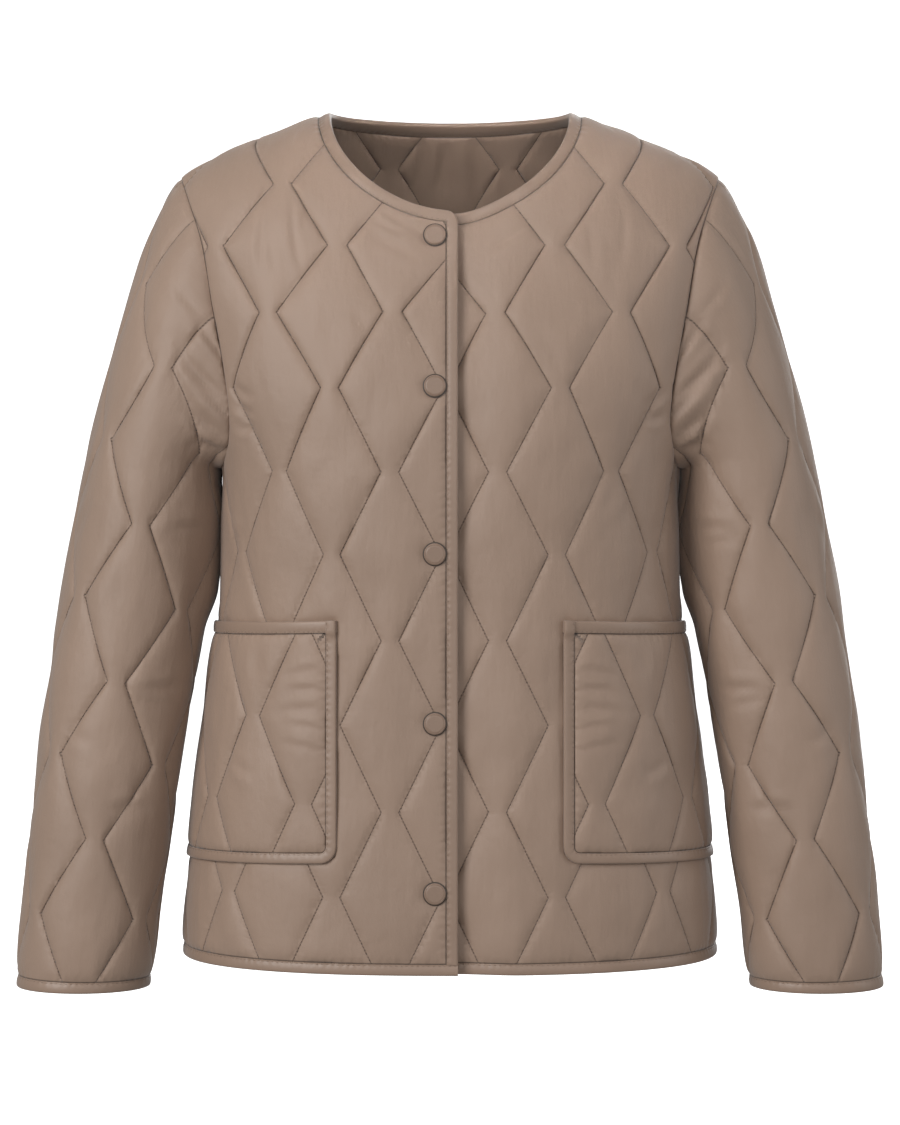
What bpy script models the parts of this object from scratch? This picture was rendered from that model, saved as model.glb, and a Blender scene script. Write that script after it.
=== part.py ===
"""A short quilted coat: round bound neck, five snaps, set-in sleeves and two patch pockets.

The coat is filled out as if worn, and hollow: the neck, the hem and both cuffs are open.
Units are metres, +Z is up, the front faces -Y and the wearer's left is +X. The origin is on
the middle line, level with the neck ends of the shoulder seams.

Each panel is cut flat, as cloth is. Its outline, its stitch lines and the points of its puffs
are placed in a pattern of distances (across, up), triangulated there, and laid on the form of
the filled-out coat. The puffs stand out from the outer face, and the inner face is plain.
"""

import math

import bmesh
import bpy
import numpy as np
from mathutils import Matrix, Vector
from mathutils.geometry import delaunay_2d_cdt

# ---------------------------------------------------------------- driving dimensions
FRONT, BACK = -1, 1
RIGHT, LEFT = -1, 1  # the wearer's sides, as signs of x

SEAM_GAP = 0.0003  # between pieces that are sewn together
ARMHOLE_GAP = 0.0010  # where a sleeve meets the body at an angle
WALL = 0.0025  # padded cloth where it is stitched down
PUFF = 0.0042  # how far a puff stands out between stitch lines
PUFF_REACH = 0.030  # a puff is at full height this far from its stitching

FIRST_LINE = {RIGHT: 0.0207, LEFT: 0.0124}  # from the middle of the front
LINE_SPACING = 0.0413  # between two zigzag stitch lines
LINE_SWING = 0.0145  # each line swings this far to either side
HALF_PERIOD = 0.0595  # a line of the body swings over in this height
SLEEVE_HALF_PERIOD = 0.0563
TUFT_SPACING = 0.020  # modelled points across a puff
TUFT_MARGIN = 0.007  # they stay this far inside a panel's edge
CREASE_MARGIN = 0.0035  # and stitch lines end this far inside it
EDGE_SPACING = 0.016  # between the points along a panel's straight edges
RIM_ROW = 0.009  # the first row of points inside an armhole
RIM_CLEAR = 0.035  # it stops this far from the underarm, where sleeve and body meet
POINT_SPACING = 0.006  # loose points are at least this far apart
# Heights at which the lines of the front turn, from the lowest, where lines 0 and -1 are closest.
# They are evenly spaced on the cloth, and closer together where it slopes in over the chest.
FRONT_TURNS = (
    *(-0.5465, -0.4868, -0.4270, -0.3683, -0.3089, -0.2517),
    *(-0.1939, -0.1414, -0.0949, -0.0513, -0.0120),
)
BACK_TURN = -0.0315  # height of the highest turn of the back's lines
SLEEVE_TURN = 0.1100  # up the sleeve, where lines 0 and -1 are closest

HEM_HEIGHT = -0.600
UNDERARM_HEIGHT = -0.250
NECK_SHOULDER_X = 0.0936  # neck end of the shoulder seam, at height 0
NECK_MIDDLE = 0.040  # inside this far from the middle the back of the neck is rounded
SHOULDER_TIP_X = 0.1922
SHOULDER_SLOPE = 0.385
SHOULDER_TIP_DROP = 0.0060  # the seam bends down by this at its tip
SHOULDER_ROUNDING = 0.080  # the top of the shoulder rounds over in this height
SECTION_SQUARENESS = 2.4  # 2 is an ellipse

BINDING = 0.0080
BINDING_RISE = 0.0011  # a binding is this much prouder than the stitched cloth, on each face
NECK_HALF_WIDTH = NECK_SHOULDER_X - BINDING
NECK_ROUNDNESS = 1.8
FRONT_NECK_HEIGHT = -0.0702  # finished edge in the middle of the front
BACK_NECK_HEIGHT = -0.0005

LAP_OVER = 0.0055  # the right front ends this far past the middle
LAP_UNDER = 0.0260  # the left front runs this far under it
LAP_SINK = 0.0085  # the left front lies this much deeper there
LAP_SLOPE = 0.0240  # and comes up to the form over this width

SNAP_RADIUS = 0.0075
SNAP_FOOT_RADIUS = 0.0048
SNAP_FOOT = 0.0010  # height of the foot that carries the cap
SNAP_HEIGHT = 0.0029
SNAP_CLEAR = 0.0006  # flat cloth round the cap
SNAP_ACROSS = 0.0104
SNAP_HEIGHTS = (-0.5428, -0.4252, -0.3080, -0.1925, -0.0880)

POCKET_INNER = 0.0785  # inner finished edge, from the middle of the coat
POCKET_TOP = -0.3544
POCKET_BOTTOM = -0.5229
POCKET_SIDE_DROP = 0.0070  # both ends are lower at the side seam
POCKET_SIDE_INSET = 0.0015  # from the side seam
POCKET_TOP_BINDING = 0.0083
POCKET_EDGE_BINDING = 0.0072
POCKET_CORNER = 0.0120
POCKET_WALL = 0.0020
POCKET_REST = 0.0015  # the front is flat this far round its pocket
POCKET_LINING_SPACING = 0.024  # of the points where a pocket and its front lie together
POCKET_BINDING_LIFT = 0.0023  # middle of the pocket's bindings above the front
POCKET_BINDING_HALF = 0.0018
POCKET_LINES_OUT = -0.0215  # its stitch lines don't meet those of the front
POCKET_TURNS_UP = 0.0045

QUILTED_COLOUR = (0.350, 0.262, 0.197, 1.0)
BINDING_COLOUR = (0.320, 0.238, 0.178, 1.0)
SNAP_COLOUR = (0.300, 0.222, 0.165, 1.0)

# Sections of the body, from the hem up. The depths are from the plane of the side seams.
TORSO = np.rec.fromrecords(
    [
        (-0.600, 0.1920, 0.1270, 0.1250),
        (-0.555, 0.1888, 0.1268, 0.1225),
        (-0.500, 0.1830, 0.1262, 0.1190),
        (-0.430, 0.1742, 0.1250, 0.1150),
        (-0.388, 0.1690, 0.1243, 0.1132),
        (-0.338, 0.1632, 0.1243, 0.1132),
        (-0.300, 0.1618, 0.1252, 0.1150),
        (-0.250, 0.1635, 0.1255, 0.1185),
        (-0.190, 0.1785, 0.1200, 0.1210),
        (-0.140, 0.1910, 0.1085, 0.1180),
        (-0.090, 0.2035, 0.0930, 0.1080),
        (-0.045, 0.2150, 0.0800, 0.0930),
        (0.045, 0.2370, 0.0620, 0.0620),
    ],
    names="height, half_width, front_depth, back_depth",
)

# The armhole seam, as seen from the front, from the shoulder tip down to the side seam.
ARMHOLE = np.rec.fromrecords(
    [
        (-0.0670, 0.1845),
        (-0.1020, 0.1740),
        (-0.1370, 0.1665),
        (-0.1690, 0.1605),
        (-0.2000, 0.1555),
        (-0.2220, 0.1540),
        (-0.2360, 0.1555),
        (-0.2440, 0.1585),
        (-0.2482, 0.1613),
    ],
    names="height, x",
)

# Sections of the left arm, from the cuff up. The last one touches the underarm.
ARM = np.rec.fromrecords(
    [
        (-0.6210, 0.2626, -0.0320, 0.0470, 0.0420, 0.0),
        (-0.5650, 0.2567, -0.0290, 0.0472, 0.0440, 4.0),
        (-0.5130, 0.2505, -0.0255, 0.0480, 0.0465, 6.5),
        (-0.4300, 0.2393, -0.0185, 0.0494, 0.0515, 8.0),
        (-0.3470, 0.2263, -0.0100, 0.0505, 0.0575, 9.0),
        (-0.3000, 0.2190, -0.0050, 0.0500, 0.0615, 9.0),
        (-0.2445, 0.2110, 0.0000, 0.0470, 0.0650, 9.0),
    ],
    names="height, x, y, half_width, half_depth, tilt",
)


# ---------------------------------------------------------------- the form of the coat
def smooth(at, stations, values):
    """The value at a place between a table's rows, with no kinks at the rows."""
    slopes = np.gradient(values, stations)
    i = np.clip(np.searchsorted(stations, at) - 1, 0, len(stations) - 2)
    span = stations[i + 1] - stations[i]
    t = np.clip((at - stations[i]) / span, 0, 1)
    start = values[i] * (2 * t**3 - 3 * t**2 + 1) + span * slopes[i] * (t**3 - 2 * t**2 + t)
    end = values[i + 1] * (3 * t**2 - 2 * t**3) + span * slopes[i + 1] * (t**3 - t**2)
    return start + end


def running_length(points):
    """The distance along a chain of points, from its first one."""
    steps = np.linalg.norm(np.diff(points, axis=-2), axis=-1)
    return np.concatenate([np.zeros(steps.shape[:-1] + (1,)), np.cumsum(steps, axis=-1)], axis=-1)


def pick(at, stations, values):
    """For each place, the value read from its own row of stations and values."""
    return np.array([np.interp(a, s, v) for a, s, v in zip(at, stations, values)])


def shoulder_height(x):
    """The height of the shoulder seam; the line carries on over the neck, rounded in the middle."""
    rounded = (x**2 + NECK_MIDDLE**2) / (2 * NECK_MIDDLE)
    out = np.where(np.abs(x) < NECK_MIDDLE, rounded, np.abs(x)) - NECK_SHOULDER_X
    share = np.clip(out / (SHOULDER_TIP_X - NECK_SHOULDER_X), 0, 1.2)
    return -SHOULDER_SLOPE * out - SHOULDER_TIP_DROP * share**6


def unit(vectors):
    return vectors / np.linalg.norm(vectors, axis=-1, keepdims=True)


class Form:
    """A surface to lay a pattern on. A subclass says where a place in the pattern comes to."""

    flip = 1

    def outward(self, pattern):
        """The way out of the coat, square to the surface."""
        step = 0.0005
        across = self.at(pattern + (step, 0)) - self.at(pattern - (step, 0))
        up = self.at(pattern + (0, step)) - self.at(pattern - (0, step))
        return unit(np.cross(across, up)) * self.flip


class Body(Form):
    """The front or the back of the body. Across is measured from the middle towards one side."""

    ANGLES = np.linspace(0, math.pi / 2, 91)
    HEIGHTS = np.arange(HEM_HEIGHT - 0.01, 0.045, 0.001)
    PROFILE_X = 0.070

    def __init__(self, facing, side):
        self.facing, self.side = facing, side
        self.flip = -facing * side
        self.depths = TORSO.front_depth if facing == FRONT else TORSO.back_depth
        heights = self.HEIGHTS
        profile = np.stack([self.depth(self.PROFILE_X + 0 * heights, heights), heights], axis=-1)
        lengths = running_length(profile)
        self.ups = lengths - np.interp(HEM_HEIGHT, heights, lengths)

    def depth(self, x, height):
        """How far the surface is from the plane of the side seams."""
        half_width = smooth(height, TORSO.height, TORSO.half_width)
        across = np.clip(1 - (np.abs(x) / half_width) ** SECTION_SQUARENESS, 0, 1)
        into_top = 1 + (height - shoulder_height(x)) / SHOULDER_ROUNDING
        rounding = np.sqrt(1 - np.clip(into_top, 0, 1) ** 2)
        depth = smooth(height, TORSO.height, self.depths)
        return depth * across ** (1 / SECTION_SQUARENESS) * rounding

    def level(self, height):
        """Distances across and the places they come to, all round one level."""
        half_width = smooth(height, TORSO.height, TORSO.half_width)[:, None]
        x = half_width * np.sin(self.ANGLES) ** (2 / SECTION_SQUARENESS)
        y = self.depth(x, np.broadcast_to(height[:, None], x.shape))
        return running_length(np.stack([x, y], axis=-1)), x, y

    def up(self, height):
        return np.interp(height, self.HEIGHTS, self.ups)

    def across(self, x, height):
        """The distance across to a place seen at x from the front."""
        x, height = np.broadcast_arrays(np.asarray(x, float), np.asarray(height, float))
        lengths, xs, _ = self.level(height.reshape(-1))
        found = pick(np.abs(x).reshape(-1), xs, lengths).reshape(x.shape)
        return np.where(x < 0, -found, found)

    def side_seam(self, up):
        """The distance across to the side seam at each distance up."""
        height = np.interp(np.atleast_1d(up), self.ups, self.HEIGHTS)
        return self.level(height)[0][:, -1]

    def at(self, pattern):
        height = np.interp(pattern[:, 1], self.ups, self.HEIGHTS)
        lengths, xs, ys = self.level(height)
        x = pick(np.abs(pattern[:, 0]), lengths, xs)
        y = pick(np.abs(pattern[:, 0]), lengths, ys)
        steep = x > 0.95 * smooth(height, TORSO.height, TORSO.half_width)
        y = np.where(steep, y, self.depth(x, height))
        x = x * np.sign(pattern[:, 0]) * self.side
        return np.stack([x, self.facing * np.maximum(y, SEAM_GAP / 2), height], axis=-1)

    def outward(self, pattern):
        """On the shoulder and side seams the wall is square to the plane that they share."""
        normal = super().outward(pattern)
        on_seam = np.abs(self.at(pattern)[:, 1]) < 2 * SEAM_GAP
        normal[on_seam, 1] = 0
        return unit(normal)


def armhole_curve(count):
    """Seen from the front, the armhole seam from the side seam up to the shoulder tip."""
    tip = (SHOULDER_TIP_X, float(shoulder_height(SHOULDER_TIP_X)))
    bottom = (float(smooth(UNDERARM_HEIGHT, TORSO.height, TORSO.half_width)), UNDERARM_HEIGHT)
    rows = np.array([bottom] + list(zip(ARMHOLE.x, ARMHOLE.height))[::-1] + [tip])
    body = Body(FRONT, LEFT)
    places = np.stack([rows[:, 0], -body.depth(rows[:, 0], rows[:, 1]), rows[:, 1]], axis=-1)
    lengths = running_length(places)
    shares = np.linspace(0, lengths[-1], count)
    return np.stack([smooth(shares, lengths, rows[:, k]) for k in (0, 1)], axis=-1)


class Sleeve(Form):
    """A sleeve. Across is measured round the arm, outwards from the middle of its front."""

    ANGLES = np.linspace(-math.pi / 2, 1.5 * math.pi, 145)
    QUARTER = len(ANGLES) // 4
    LEVELS = np.linspace(ARM.height[0], ARM.height[-1], 60)
    CAP_SAMPLES = 24

    def __init__(self, side):
        self.side = self.flip = side
        spine = np.stack([smooth(self.LEVELS, ARM.height, ARM[c]) for c in ("x", "y")], axis=-1)
        self.ups = running_length(np.column_stack([spine, self.LEVELS]))
        self.top = self.ups[-1]
        self.build_cap()

    def rings(self, up):
        """All round the arm at each of these distances up: lengths across, and places."""
        height = np.interp(up, self.ups, self.LEVELS)
        x, y, wide, deep, tilt = (
            smooth(height, ARM.height, ARM[column])[:, None]
            for column in ("x", "y", "half_width", "half_depth", "tilt")
        )
        outwards = wide * np.sin(self.ANGLES)
        tilt = np.radians(tilt)
        places = np.stack(
            [
                x + outwards * np.cos(tilt),
                y - deep * np.cos(self.ANGLES),
                height[:, None] + outwards * np.sin(tilt),
            ],
            axis=-1,
        )
        lengths = running_length(places)
        return lengths - lengths[:, self.QUARTER, None], places

    def girth(self, up):
        lengths, _ = self.rings(np.atleast_1d(np.asarray(up, float)))
        return lengths[:, -1] - lengths[:, 0]

    def build_cap(self):
        """Above the underarm, each line up the arm bends over to its place on the armhole."""
        lengths, places = self.rings(np.array([self.top]))
        self.cap_across, ring = lengths[0], places[0]
        half = armhole_curve(2 * self.QUARTER + 1)
        front, back = Body(FRONT, LEFT), Body(BACK, LEFT)
        seam = []
        for body, curve in ((front, half), (back, half[-2::-1])):
            pattern = np.column_stack([body.across(curve[:, 0], curve[:, 1]), body.up(curve[:, 1])])
            seam.append(body.at(pattern))
        seam = np.concatenate(seam)
        turned = self.ANGLES + math.pi / 2
        top = np.clip(-np.cos(turned), 0, 1)[:, None]
        under = np.clip(np.cos(turned), 0, 1)[:, None]
        flank = np.abs(np.sin(turned))[:, None]
        into_flank = np.column_stack([0 * turned - 0.88, 0.10 * np.sin(turned), 0 * turned + 0.45])
        into = unit(top**2 * (-0.85, 0, 0.53) + under**2 * (-0.2, 0, 0.98) + flank**2 * into_flank)
        upwards = unit(np.array([-0.22, 0.0, 0.97]))
        reach = np.linalg.norm(seam - ring, axis=1, keepdims=True)
        bend = 0.35 * top**2 + 0.50 * flank**2 + under**2
        self.cap_rows = (ring, upwards * reach, seam, into * reach * bend)
        t = np.linspace(0, 1, self.CAP_SAMPLES)[:, None, None]
        self.cap_length = running_length(np.moveaxis(self.hermite(t, *self.cap_rows), 0, 1))[:, -1]

    @staticmethod
    def hermite(t, start, start_way, end, end_way):
        leave = start * (2 * t**3 - 3 * t**2 + 1) + start_way * (t**3 - 2 * t**2 + t)
        return leave + end * (3 * t**2 - 2 * t**3) + end_way * (t**3 - t**2)

    def seam_up(self, across):
        """How far up the sleeve is cut, for places across at the underarm."""
        return self.top + np.interp(across, self.cap_across, self.cap_length) - ARMHOLE_GAP

    def at(self, pattern):
        across, up = pattern[:, 0], pattern[:, 1]
        lengths, places = self.rings(np.minimum(up, self.top))
        low = np.stack([pick(across, lengths, places[:, :, k]) for k in range(3)], axis=-1)
        rows = [
            np.stack([np.interp(across, self.cap_across, row[:, k]) for k in range(3)], axis=-1)
            for row in self.cap_rows
        ]
        length = np.interp(across, self.cap_across, self.cap_length)
        t = np.clip((up - self.top) / length, 0, 1)[:, None]
        found = np.where(up[:, None] > self.top, self.hermite(t, *rows), low)
        return found * (self.side, 1, 1)


# ---------------------------------------------------------------- patterns
def inside(points, outline):
    """Whether each point is inside the outline."""
    x, y = points[:, 0:1], points[:, 1:2]
    x1, y1 = outline.T
    x2, y2 = np.roll(outline, -1, axis=0).T
    crosses = (y1 > y) != (y2 > y)
    at = x1 + (y - y1) * (x2 - x1) / np.where(y1 == y2, 1, y2 - y1)
    return (crosses & (x < at)).sum(axis=1) % 2 == 1


def clearance(points, outline):
    """The distance from each point to the outline."""
    start, end = outline, np.roll(outline, -1, axis=0)
    along = end - start
    from_start = points[:, None] - start
    share = np.clip((from_start * along).sum(-1) / (along * along).sum(-1), 0, 1)
    return np.linalg.norm(from_start - share[..., None] * along, axis=-1).min(axis=1)


def well_inside(points, outline, margin):
    points = np.asarray(points, float).reshape(-1, 2)
    return points[inside(points, outline) & (clearance(points, outline) > margin)]


def lattice(outline, spacing, margin):
    """Points in staggered rows that fill an outline."""
    low, high = outline.min(axis=0), outline.max(axis=0)
    rows = np.arange(low[1], high[1], spacing * math.sqrt(0.75))
    points = [
        (x, y)
        for j, y in enumerate(rows)
        for x in np.arange(low[0] + spacing * (0.25 + 0.5 * (j % 2)), high[0], spacing)
    ]
    return well_inside(points, outline, margin)


class Quilting:
    """Zigzag stitch lines that run up a panel, each one the mirror image of the next."""

    STEPS = 30  # places to a swing when a line is followed

    def __init__(self, first_line, turns):
        """Turns are the distances up at which the lines turn; at the first, 0 and -1 are closest."""
        self.first_line = first_line
        before = turns[0] - (turns[1] - turns[0]) * np.arange(20, 0, -1)
        after = turns[-1] + (turns[-1] - turns[-2]) * np.arange(1, 5)
        self.turns = np.concatenate([before, turns, after])
        self.square = math.cos(math.atan(2 * LINE_SWING / (turns[1] - turns[0])))

    def up(self, phase):
        return np.interp(phase, np.arange(len(self.turns)) - 20, self.turns)

    def phase(self, up):
        return np.interp(up, self.turns, np.arange(len(self.turns)) - 20)

    def line(self, number, up):
        """Where a stitch line is at a distance up the panel."""
        turn = np.abs(self.phase(up) % 2 - 1) * 2 - 1
        mirror = 1 - 2 * (number % 2)
        return self.first_line + LINE_SPACING * number - mirror * LINE_SWING * turn

    def numbers(self, outline):
        low, high = (outline[:, 0].min(), outline[:, 0].max())
        first = math.floor((low - self.first_line) / LINE_SPACING) - 1
        return range(first, math.ceil((high - self.first_line) / LINE_SPACING) + 2)

    def distance(self, pattern, outline):
        """The distance from each place to the nearest stitching, the outline's own too."""
        lines = np.stack([self.line(n, pattern[:, 1]) for n in self.numbers(outline)])
        nearest = np.abs(pattern[:, 0] - lines).min(axis=0) * self.square
        return np.minimum(nearest, clearance(pattern, outline))

    def creases(self, outline, keep_out=None):
        """The stitch lines inside an outline, with a point at each half swing."""
        low, high = self.phase(np.array([outline[:, 1].min(), outline[:, 1].max()])) * self.STEPS
        rows = np.arange(math.ceil(low), math.floor(high))
        up = self.up(rows / self.STEPS)
        chains = []
        for number in self.numbers(outline):
            points = np.column_stack([self.line(number, up), up])
            kept = inside(points, outline) & (clearance(points, outline) > CREASE_MARGIN)
            if keep_out is not None:
                kept &= ~inside(points, keep_out) & (clearance(points, keep_out) > CREASE_MARGIN)
            edges = np.flatnonzero(np.diff(np.concatenate([[False], kept, [False]]).astype(int)))
            for first, last in zip(edges[::2], edges[1::2] - 1):
                if last - first < 4:
                    continue
                middle = [i for i in range(first + 4, last - 3) if rows[i] % (self.STEPS // 2) == 0]
                chains.append(points[[first] + middle + [last]])
        return chains

    def tufts(self, outline, keep_out=None):
        """Points between the stitch lines, where the puffs stand out."""
        low, high = self.phase(np.array([outline[:, 1].min(), outline[:, 1].max()])) * 2
        points = []
        for row in range(math.ceil(low), math.floor(high) + 1):
            up = float(self.up(row / 2))
            for number in self.numbers(outline):
                left, right = self.line(number, up), self.line(number + 1, up)
                count = max(1, int((right - left) / TUFT_SPACING))
                points += [(left + (right - left) * (k + 1) / (count + 1), up) for k in range(count)]
        points = well_inside(points, outline, TUFT_MARGIN)
        if keep_out is None:
            return points
        return points[~inside(points, keep_out) & (clearance(points, keep_out) > TUFT_MARGIN)]


def puff(distance):
    return PUFF * np.sqrt(1 - (1 - np.clip(distance / PUFF_REACH, 0, 1)) ** 2)


def rim_row(edge, outline, underarm):
    """A row of points beside an armhole's edge, but not near the underarm."""
    along = unit(np.gradient(edge, axis=0))
    row = edge + RIM_ROW * np.column_stack([-along[:, 1], along[:, 0]])
    away = np.linalg.norm(edge[:, None] - np.asarray(underarm), axis=-1).min(axis=1)
    return well_inside(row[away > RIM_CLEAR], outline, 0.9 * RIM_ROW)


def spread_out(points, lines):
    """The points that are clear of the lines and of the points before them."""
    shares = np.linspace(0, 1, 5)[:, None, None]
    kept = [(line[:-1] + (line[1:] - line[:-1]) * shares).reshape(-1, 2) for line in lines]
    kept = list(np.concatenate(kept))
    taken = len(kept)
    for point in points:
        if np.linalg.norm(np.array(kept) - point, axis=1).min() > POINT_SPACING:
            kept.append(point)
    return kept[taken:]


def chain(start, end, spacing=EDGE_SPACING):
    """Points from start up to end, without end."""
    start, end = np.asarray(start, float), np.asarray(end, float)
    count = max(1, round(float(np.linalg.norm(end - start)) / spacing))
    return start + (end - start) * np.arange(count)[:, None] / count


# ---------------------------------------------------------------- making solids
def material(name, colour, roughness):
    made = bpy.data.materials.new(name)
    made.use_nodes = True
    shader = made.node_tree.nodes["Principled BSDF"]
    shader.inputs["Base Color"].default_value = colour
    shader.inputs["Roughness"].default_value = roughness
    shader.inputs["Metallic"].default_value = 0.0
    made.diffuse_color = colour
    return made


def add_object(name, mesh_builder, colour, roughness=0.5, crease_angle=50):
    """Close a bmesh into an object of its own with a material of its own."""
    bmesh.ops.recalc_face_normals(mesh_builder, faces=mesh_builder.faces)
    mesh = bpy.data.meshes.new(name)
    mesh_builder.to_mesh(mesh)
    mesh_builder.free()
    mesh.materials.append(material(name, colour, roughness))
    mesh.shade_smooth()
    mesh.set_sharp_from_angle(angle=math.radians(crease_angle))
    obj = bpy.data.objects.new(name, mesh)
    bpy.context.scene.collection.objects.link(obj)
    return obj


def triangulate(outline, lines=(), loose=()):
    """The inside of an outline in triangles that keep to the lines. The outline comes first."""
    points = [Vector(p) for p in outline]
    edges = []
    for line in lines:
        start = len(points)
        points += [Vector(p) for p in line]
        edges += [(i, i + 1) for i in range(start, len(points) - 1)]
    points += [Vector(p) for p in loose]
    loop = list(range(len(outline)))
    found, _, faces, _, _, _ = delaunay_2d_cdt(points, edges, [loop], 1, 1e-7)
    return np.array([tuple(p) for p in found]), faces


def cut_cloth(name, form, outline, outer, inner, lines=(), loose=(), lining=0.032):
    """A panel: an outer face with its relief, a plain inner face, and the edge between."""
    mesh_builder = bmesh.new()
    rims = []
    lining_points = lattice(outline, lining, 0.4 * lining)
    tufts = spread_out(loose, lines)
    for height, details in ((outer, (lines, tufts)), (inner, ((), lining_points))):
        pattern, faces = triangulate(outline, *details)
        places = form.at(pattern) + form.outward(pattern) * height(pattern)[:, None]
        corners = [mesh_builder.verts.new(p) for p in places]
        for face in faces:
            mesh_builder.faces.new([corners[i] for i in face])
        rims.append(corners[: len(outline)])
    for i in range(len(outline)):
        j = (i + 1) % len(outline)
        mesh_builder.faces.new([rims[0][i], rims[0][j], rims[1][j], rims[1][i]])
    return add_object(name, mesh_builder, QUILTED_COLOUR, crease_angle=12)


# Across a binding: share of its width from the panel's side, share of its half thickness.
BINDING_SECTION = (
    (0.00, 0.55),
    (0.18, 1.00),
    (0.72, 1.00),
    (1.00, 0.45),
    (1.00, -0.45),
    (0.72, -1.00),
    (0.18, -1.00),
    (0.00, -0.55),
)


def bind(name, panel_edge, free_edge, outward, middle, half_thickness, closed=False):
    """A binding between a panel's edge and the finished edge, clear of the panel."""
    width = np.linalg.norm(free_edge - panel_edge, axis=1, keepdims=True)
    panel_edge = panel_edge + (free_edge - panel_edge) * SEAM_GAP / width
    mesh_builder = bmesh.new()
    rings = []
    for a, b, out in zip(panel_edge, free_edge, outward):
        places = [a + (b - a) * s + out * (middle + half_thickness * t) for s, t in BINDING_SECTION]
        rings.append([mesh_builder.verts.new(p) for p in places])
    following = rings[1:] + rings[:1] if closed else rings[1:]
    for ring, after in zip(rings, following):
        for i in range(len(ring)):
            j = (i + 1) % len(ring)
            mesh_builder.faces.new([ring[i], ring[j], after[j], after[i]])
    if not closed:
        mesh_builder.faces.new(rings[0])
        mesh_builder.faces.new(rings[-1])
    return add_object(name, mesh_builder, BINDING_COLOUR, 0.45)


EDGE_MIDDLE = -WALL / 2
EDGE_HALF = WALL / 2 + BINDING_RISE


# ---------------------------------------------------------------- edges that pieces share
def neck_curve(body, grow, count):
    """The neckline from the shoulder seam to the middle, as a pattern. Grow moves it outwards."""
    half_width = NECK_HALF_WIDTH + grow
    start = float(shoulder_height(half_width))
    end = FRONT_NECK_HEIGHT if body.facing == FRONT else BACK_NECK_HEIGHT
    angles = np.linspace(0, math.pi / 2, count)
    x = half_width * np.cos(angles) ** (2 / NECK_ROUNDNESS)
    height = start + (end - grow - start) * np.sin(angles) ** (2 / NECK_ROUNDNESS)
    return np.column_stack([body.across(x, height), body.up(height)])


def armhole_pattern(body, count=30):
    curve = armhole_curve(count)
    across = body.across(curve[:, 0], curve[:, 1])
    return np.column_stack([across, body.up(curve[:, 1])])


def side_pattern(body, spacing=EDGE_SPACING):
    """The side seam from the hem binding up to the underarm, without its last point."""
    low, high = body.up(HEM_HEIGHT) + BINDING, body.up(UNDERARM_HEIGHT)
    count = round((high - low) / spacing)
    up = low + (high - low) * np.arange(count) / count
    return np.column_stack([body.side_seam(up), up])


def shoulder_pattern(body, spacing=0.014):
    """The shoulder seam from the armhole in to the neck, without its ends."""
    count = round((SHOULDER_TIP_X - NECK_SHOULDER_X) / spacing)
    x = np.linspace(SHOULDER_TIP_X, NECK_SHOULDER_X, count + 1)[1:-1]
    height = shoulder_height(x)
    return np.column_stack([body.across(x, height), body.up(height)])


# ---------------------------------------------------------------- pieces
def lap_sink(pattern):
    """How much deeper the left front lies where it runs under the right one."""
    t = np.clip((LAP_OVER + LAP_SLOPE - pattern[:, 0]) / LAP_SLOPE, 0, 1)
    return LAP_SINK * t * t * (3 - 2 * t)


def pocket_mouth(body, inset, count=2):
    """Points along a pocket's mouth or below it, from the inner edge out to the side seam."""
    start = np.array((POCKET_INNER, body.up(POCKET_TOP) - inset))
    end_up = start[1] - POCKET_SIDE_DROP
    end = np.array((body.side_seam(end_up)[0] - POCKET_SIDE_INSET, end_up))
    return start + np.linspace(0, 1, count)[:, None] * (end - start)


def pocket_outline(body, inset_inner, inset_bottom, inset_top, inset_side, spacing=0.014):
    """A pocket's edge, anticlockwise from the foot of the side: in, up, out and down."""
    bottom = body.up(POCKET_BOTTOM) + inset_bottom
    inner = POCKET_INNER + inset_inner
    mouth = pocket_mouth(body, inset_top)
    inner_top = (inner, np.interp(inner, *mouth.T))
    side_up = np.linspace(bottom - POCKET_SIDE_DROP, mouth[1, 1], 12)
    side = np.column_stack([body.side_seam(side_up) - inset_side, side_up])
    corner = max(POCKET_CORNER - inset_bottom, 0.003)
    turn = np.radians(np.linspace(270, 180, 5))
    rounded = np.column_stack([np.cos(turn), np.sin(turn)]) * corner + (inner + corner, bottom + corner)
    pieces = [
        chain(side[0], rounded[0], spacing),
        rounded[:-1],
        chain(rounded[-1], inner_top, spacing),
        chain(inner_top, side[-1], spacing),
        side[:0:-1],
    ]
    return np.concatenate(pieces)


def pocket_panel(body):
    """The pocket's quilted panel, inside its bindings."""
    bindings = (POCKET_EDGE_BINDING, POCKET_EDGE_BINDING, POCKET_TOP_BINDING)
    return pocket_outline(body, *bindings, POCKET_SIDE_INSET)


def flattened(pattern, region, rise=0.008):
    """0 inside a region that something lies on, rising to 1 over a short way outside it."""
    away = np.where(inside(pattern, region), 0, clearance(pattern, region))
    return np.clip(away / rise, 0, 1)


def snap_places():
    return [(SNAP_ACROSS, float(Body(FRONT, RIGHT).up(height))) for height in SNAP_HEIGHTS]


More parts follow.
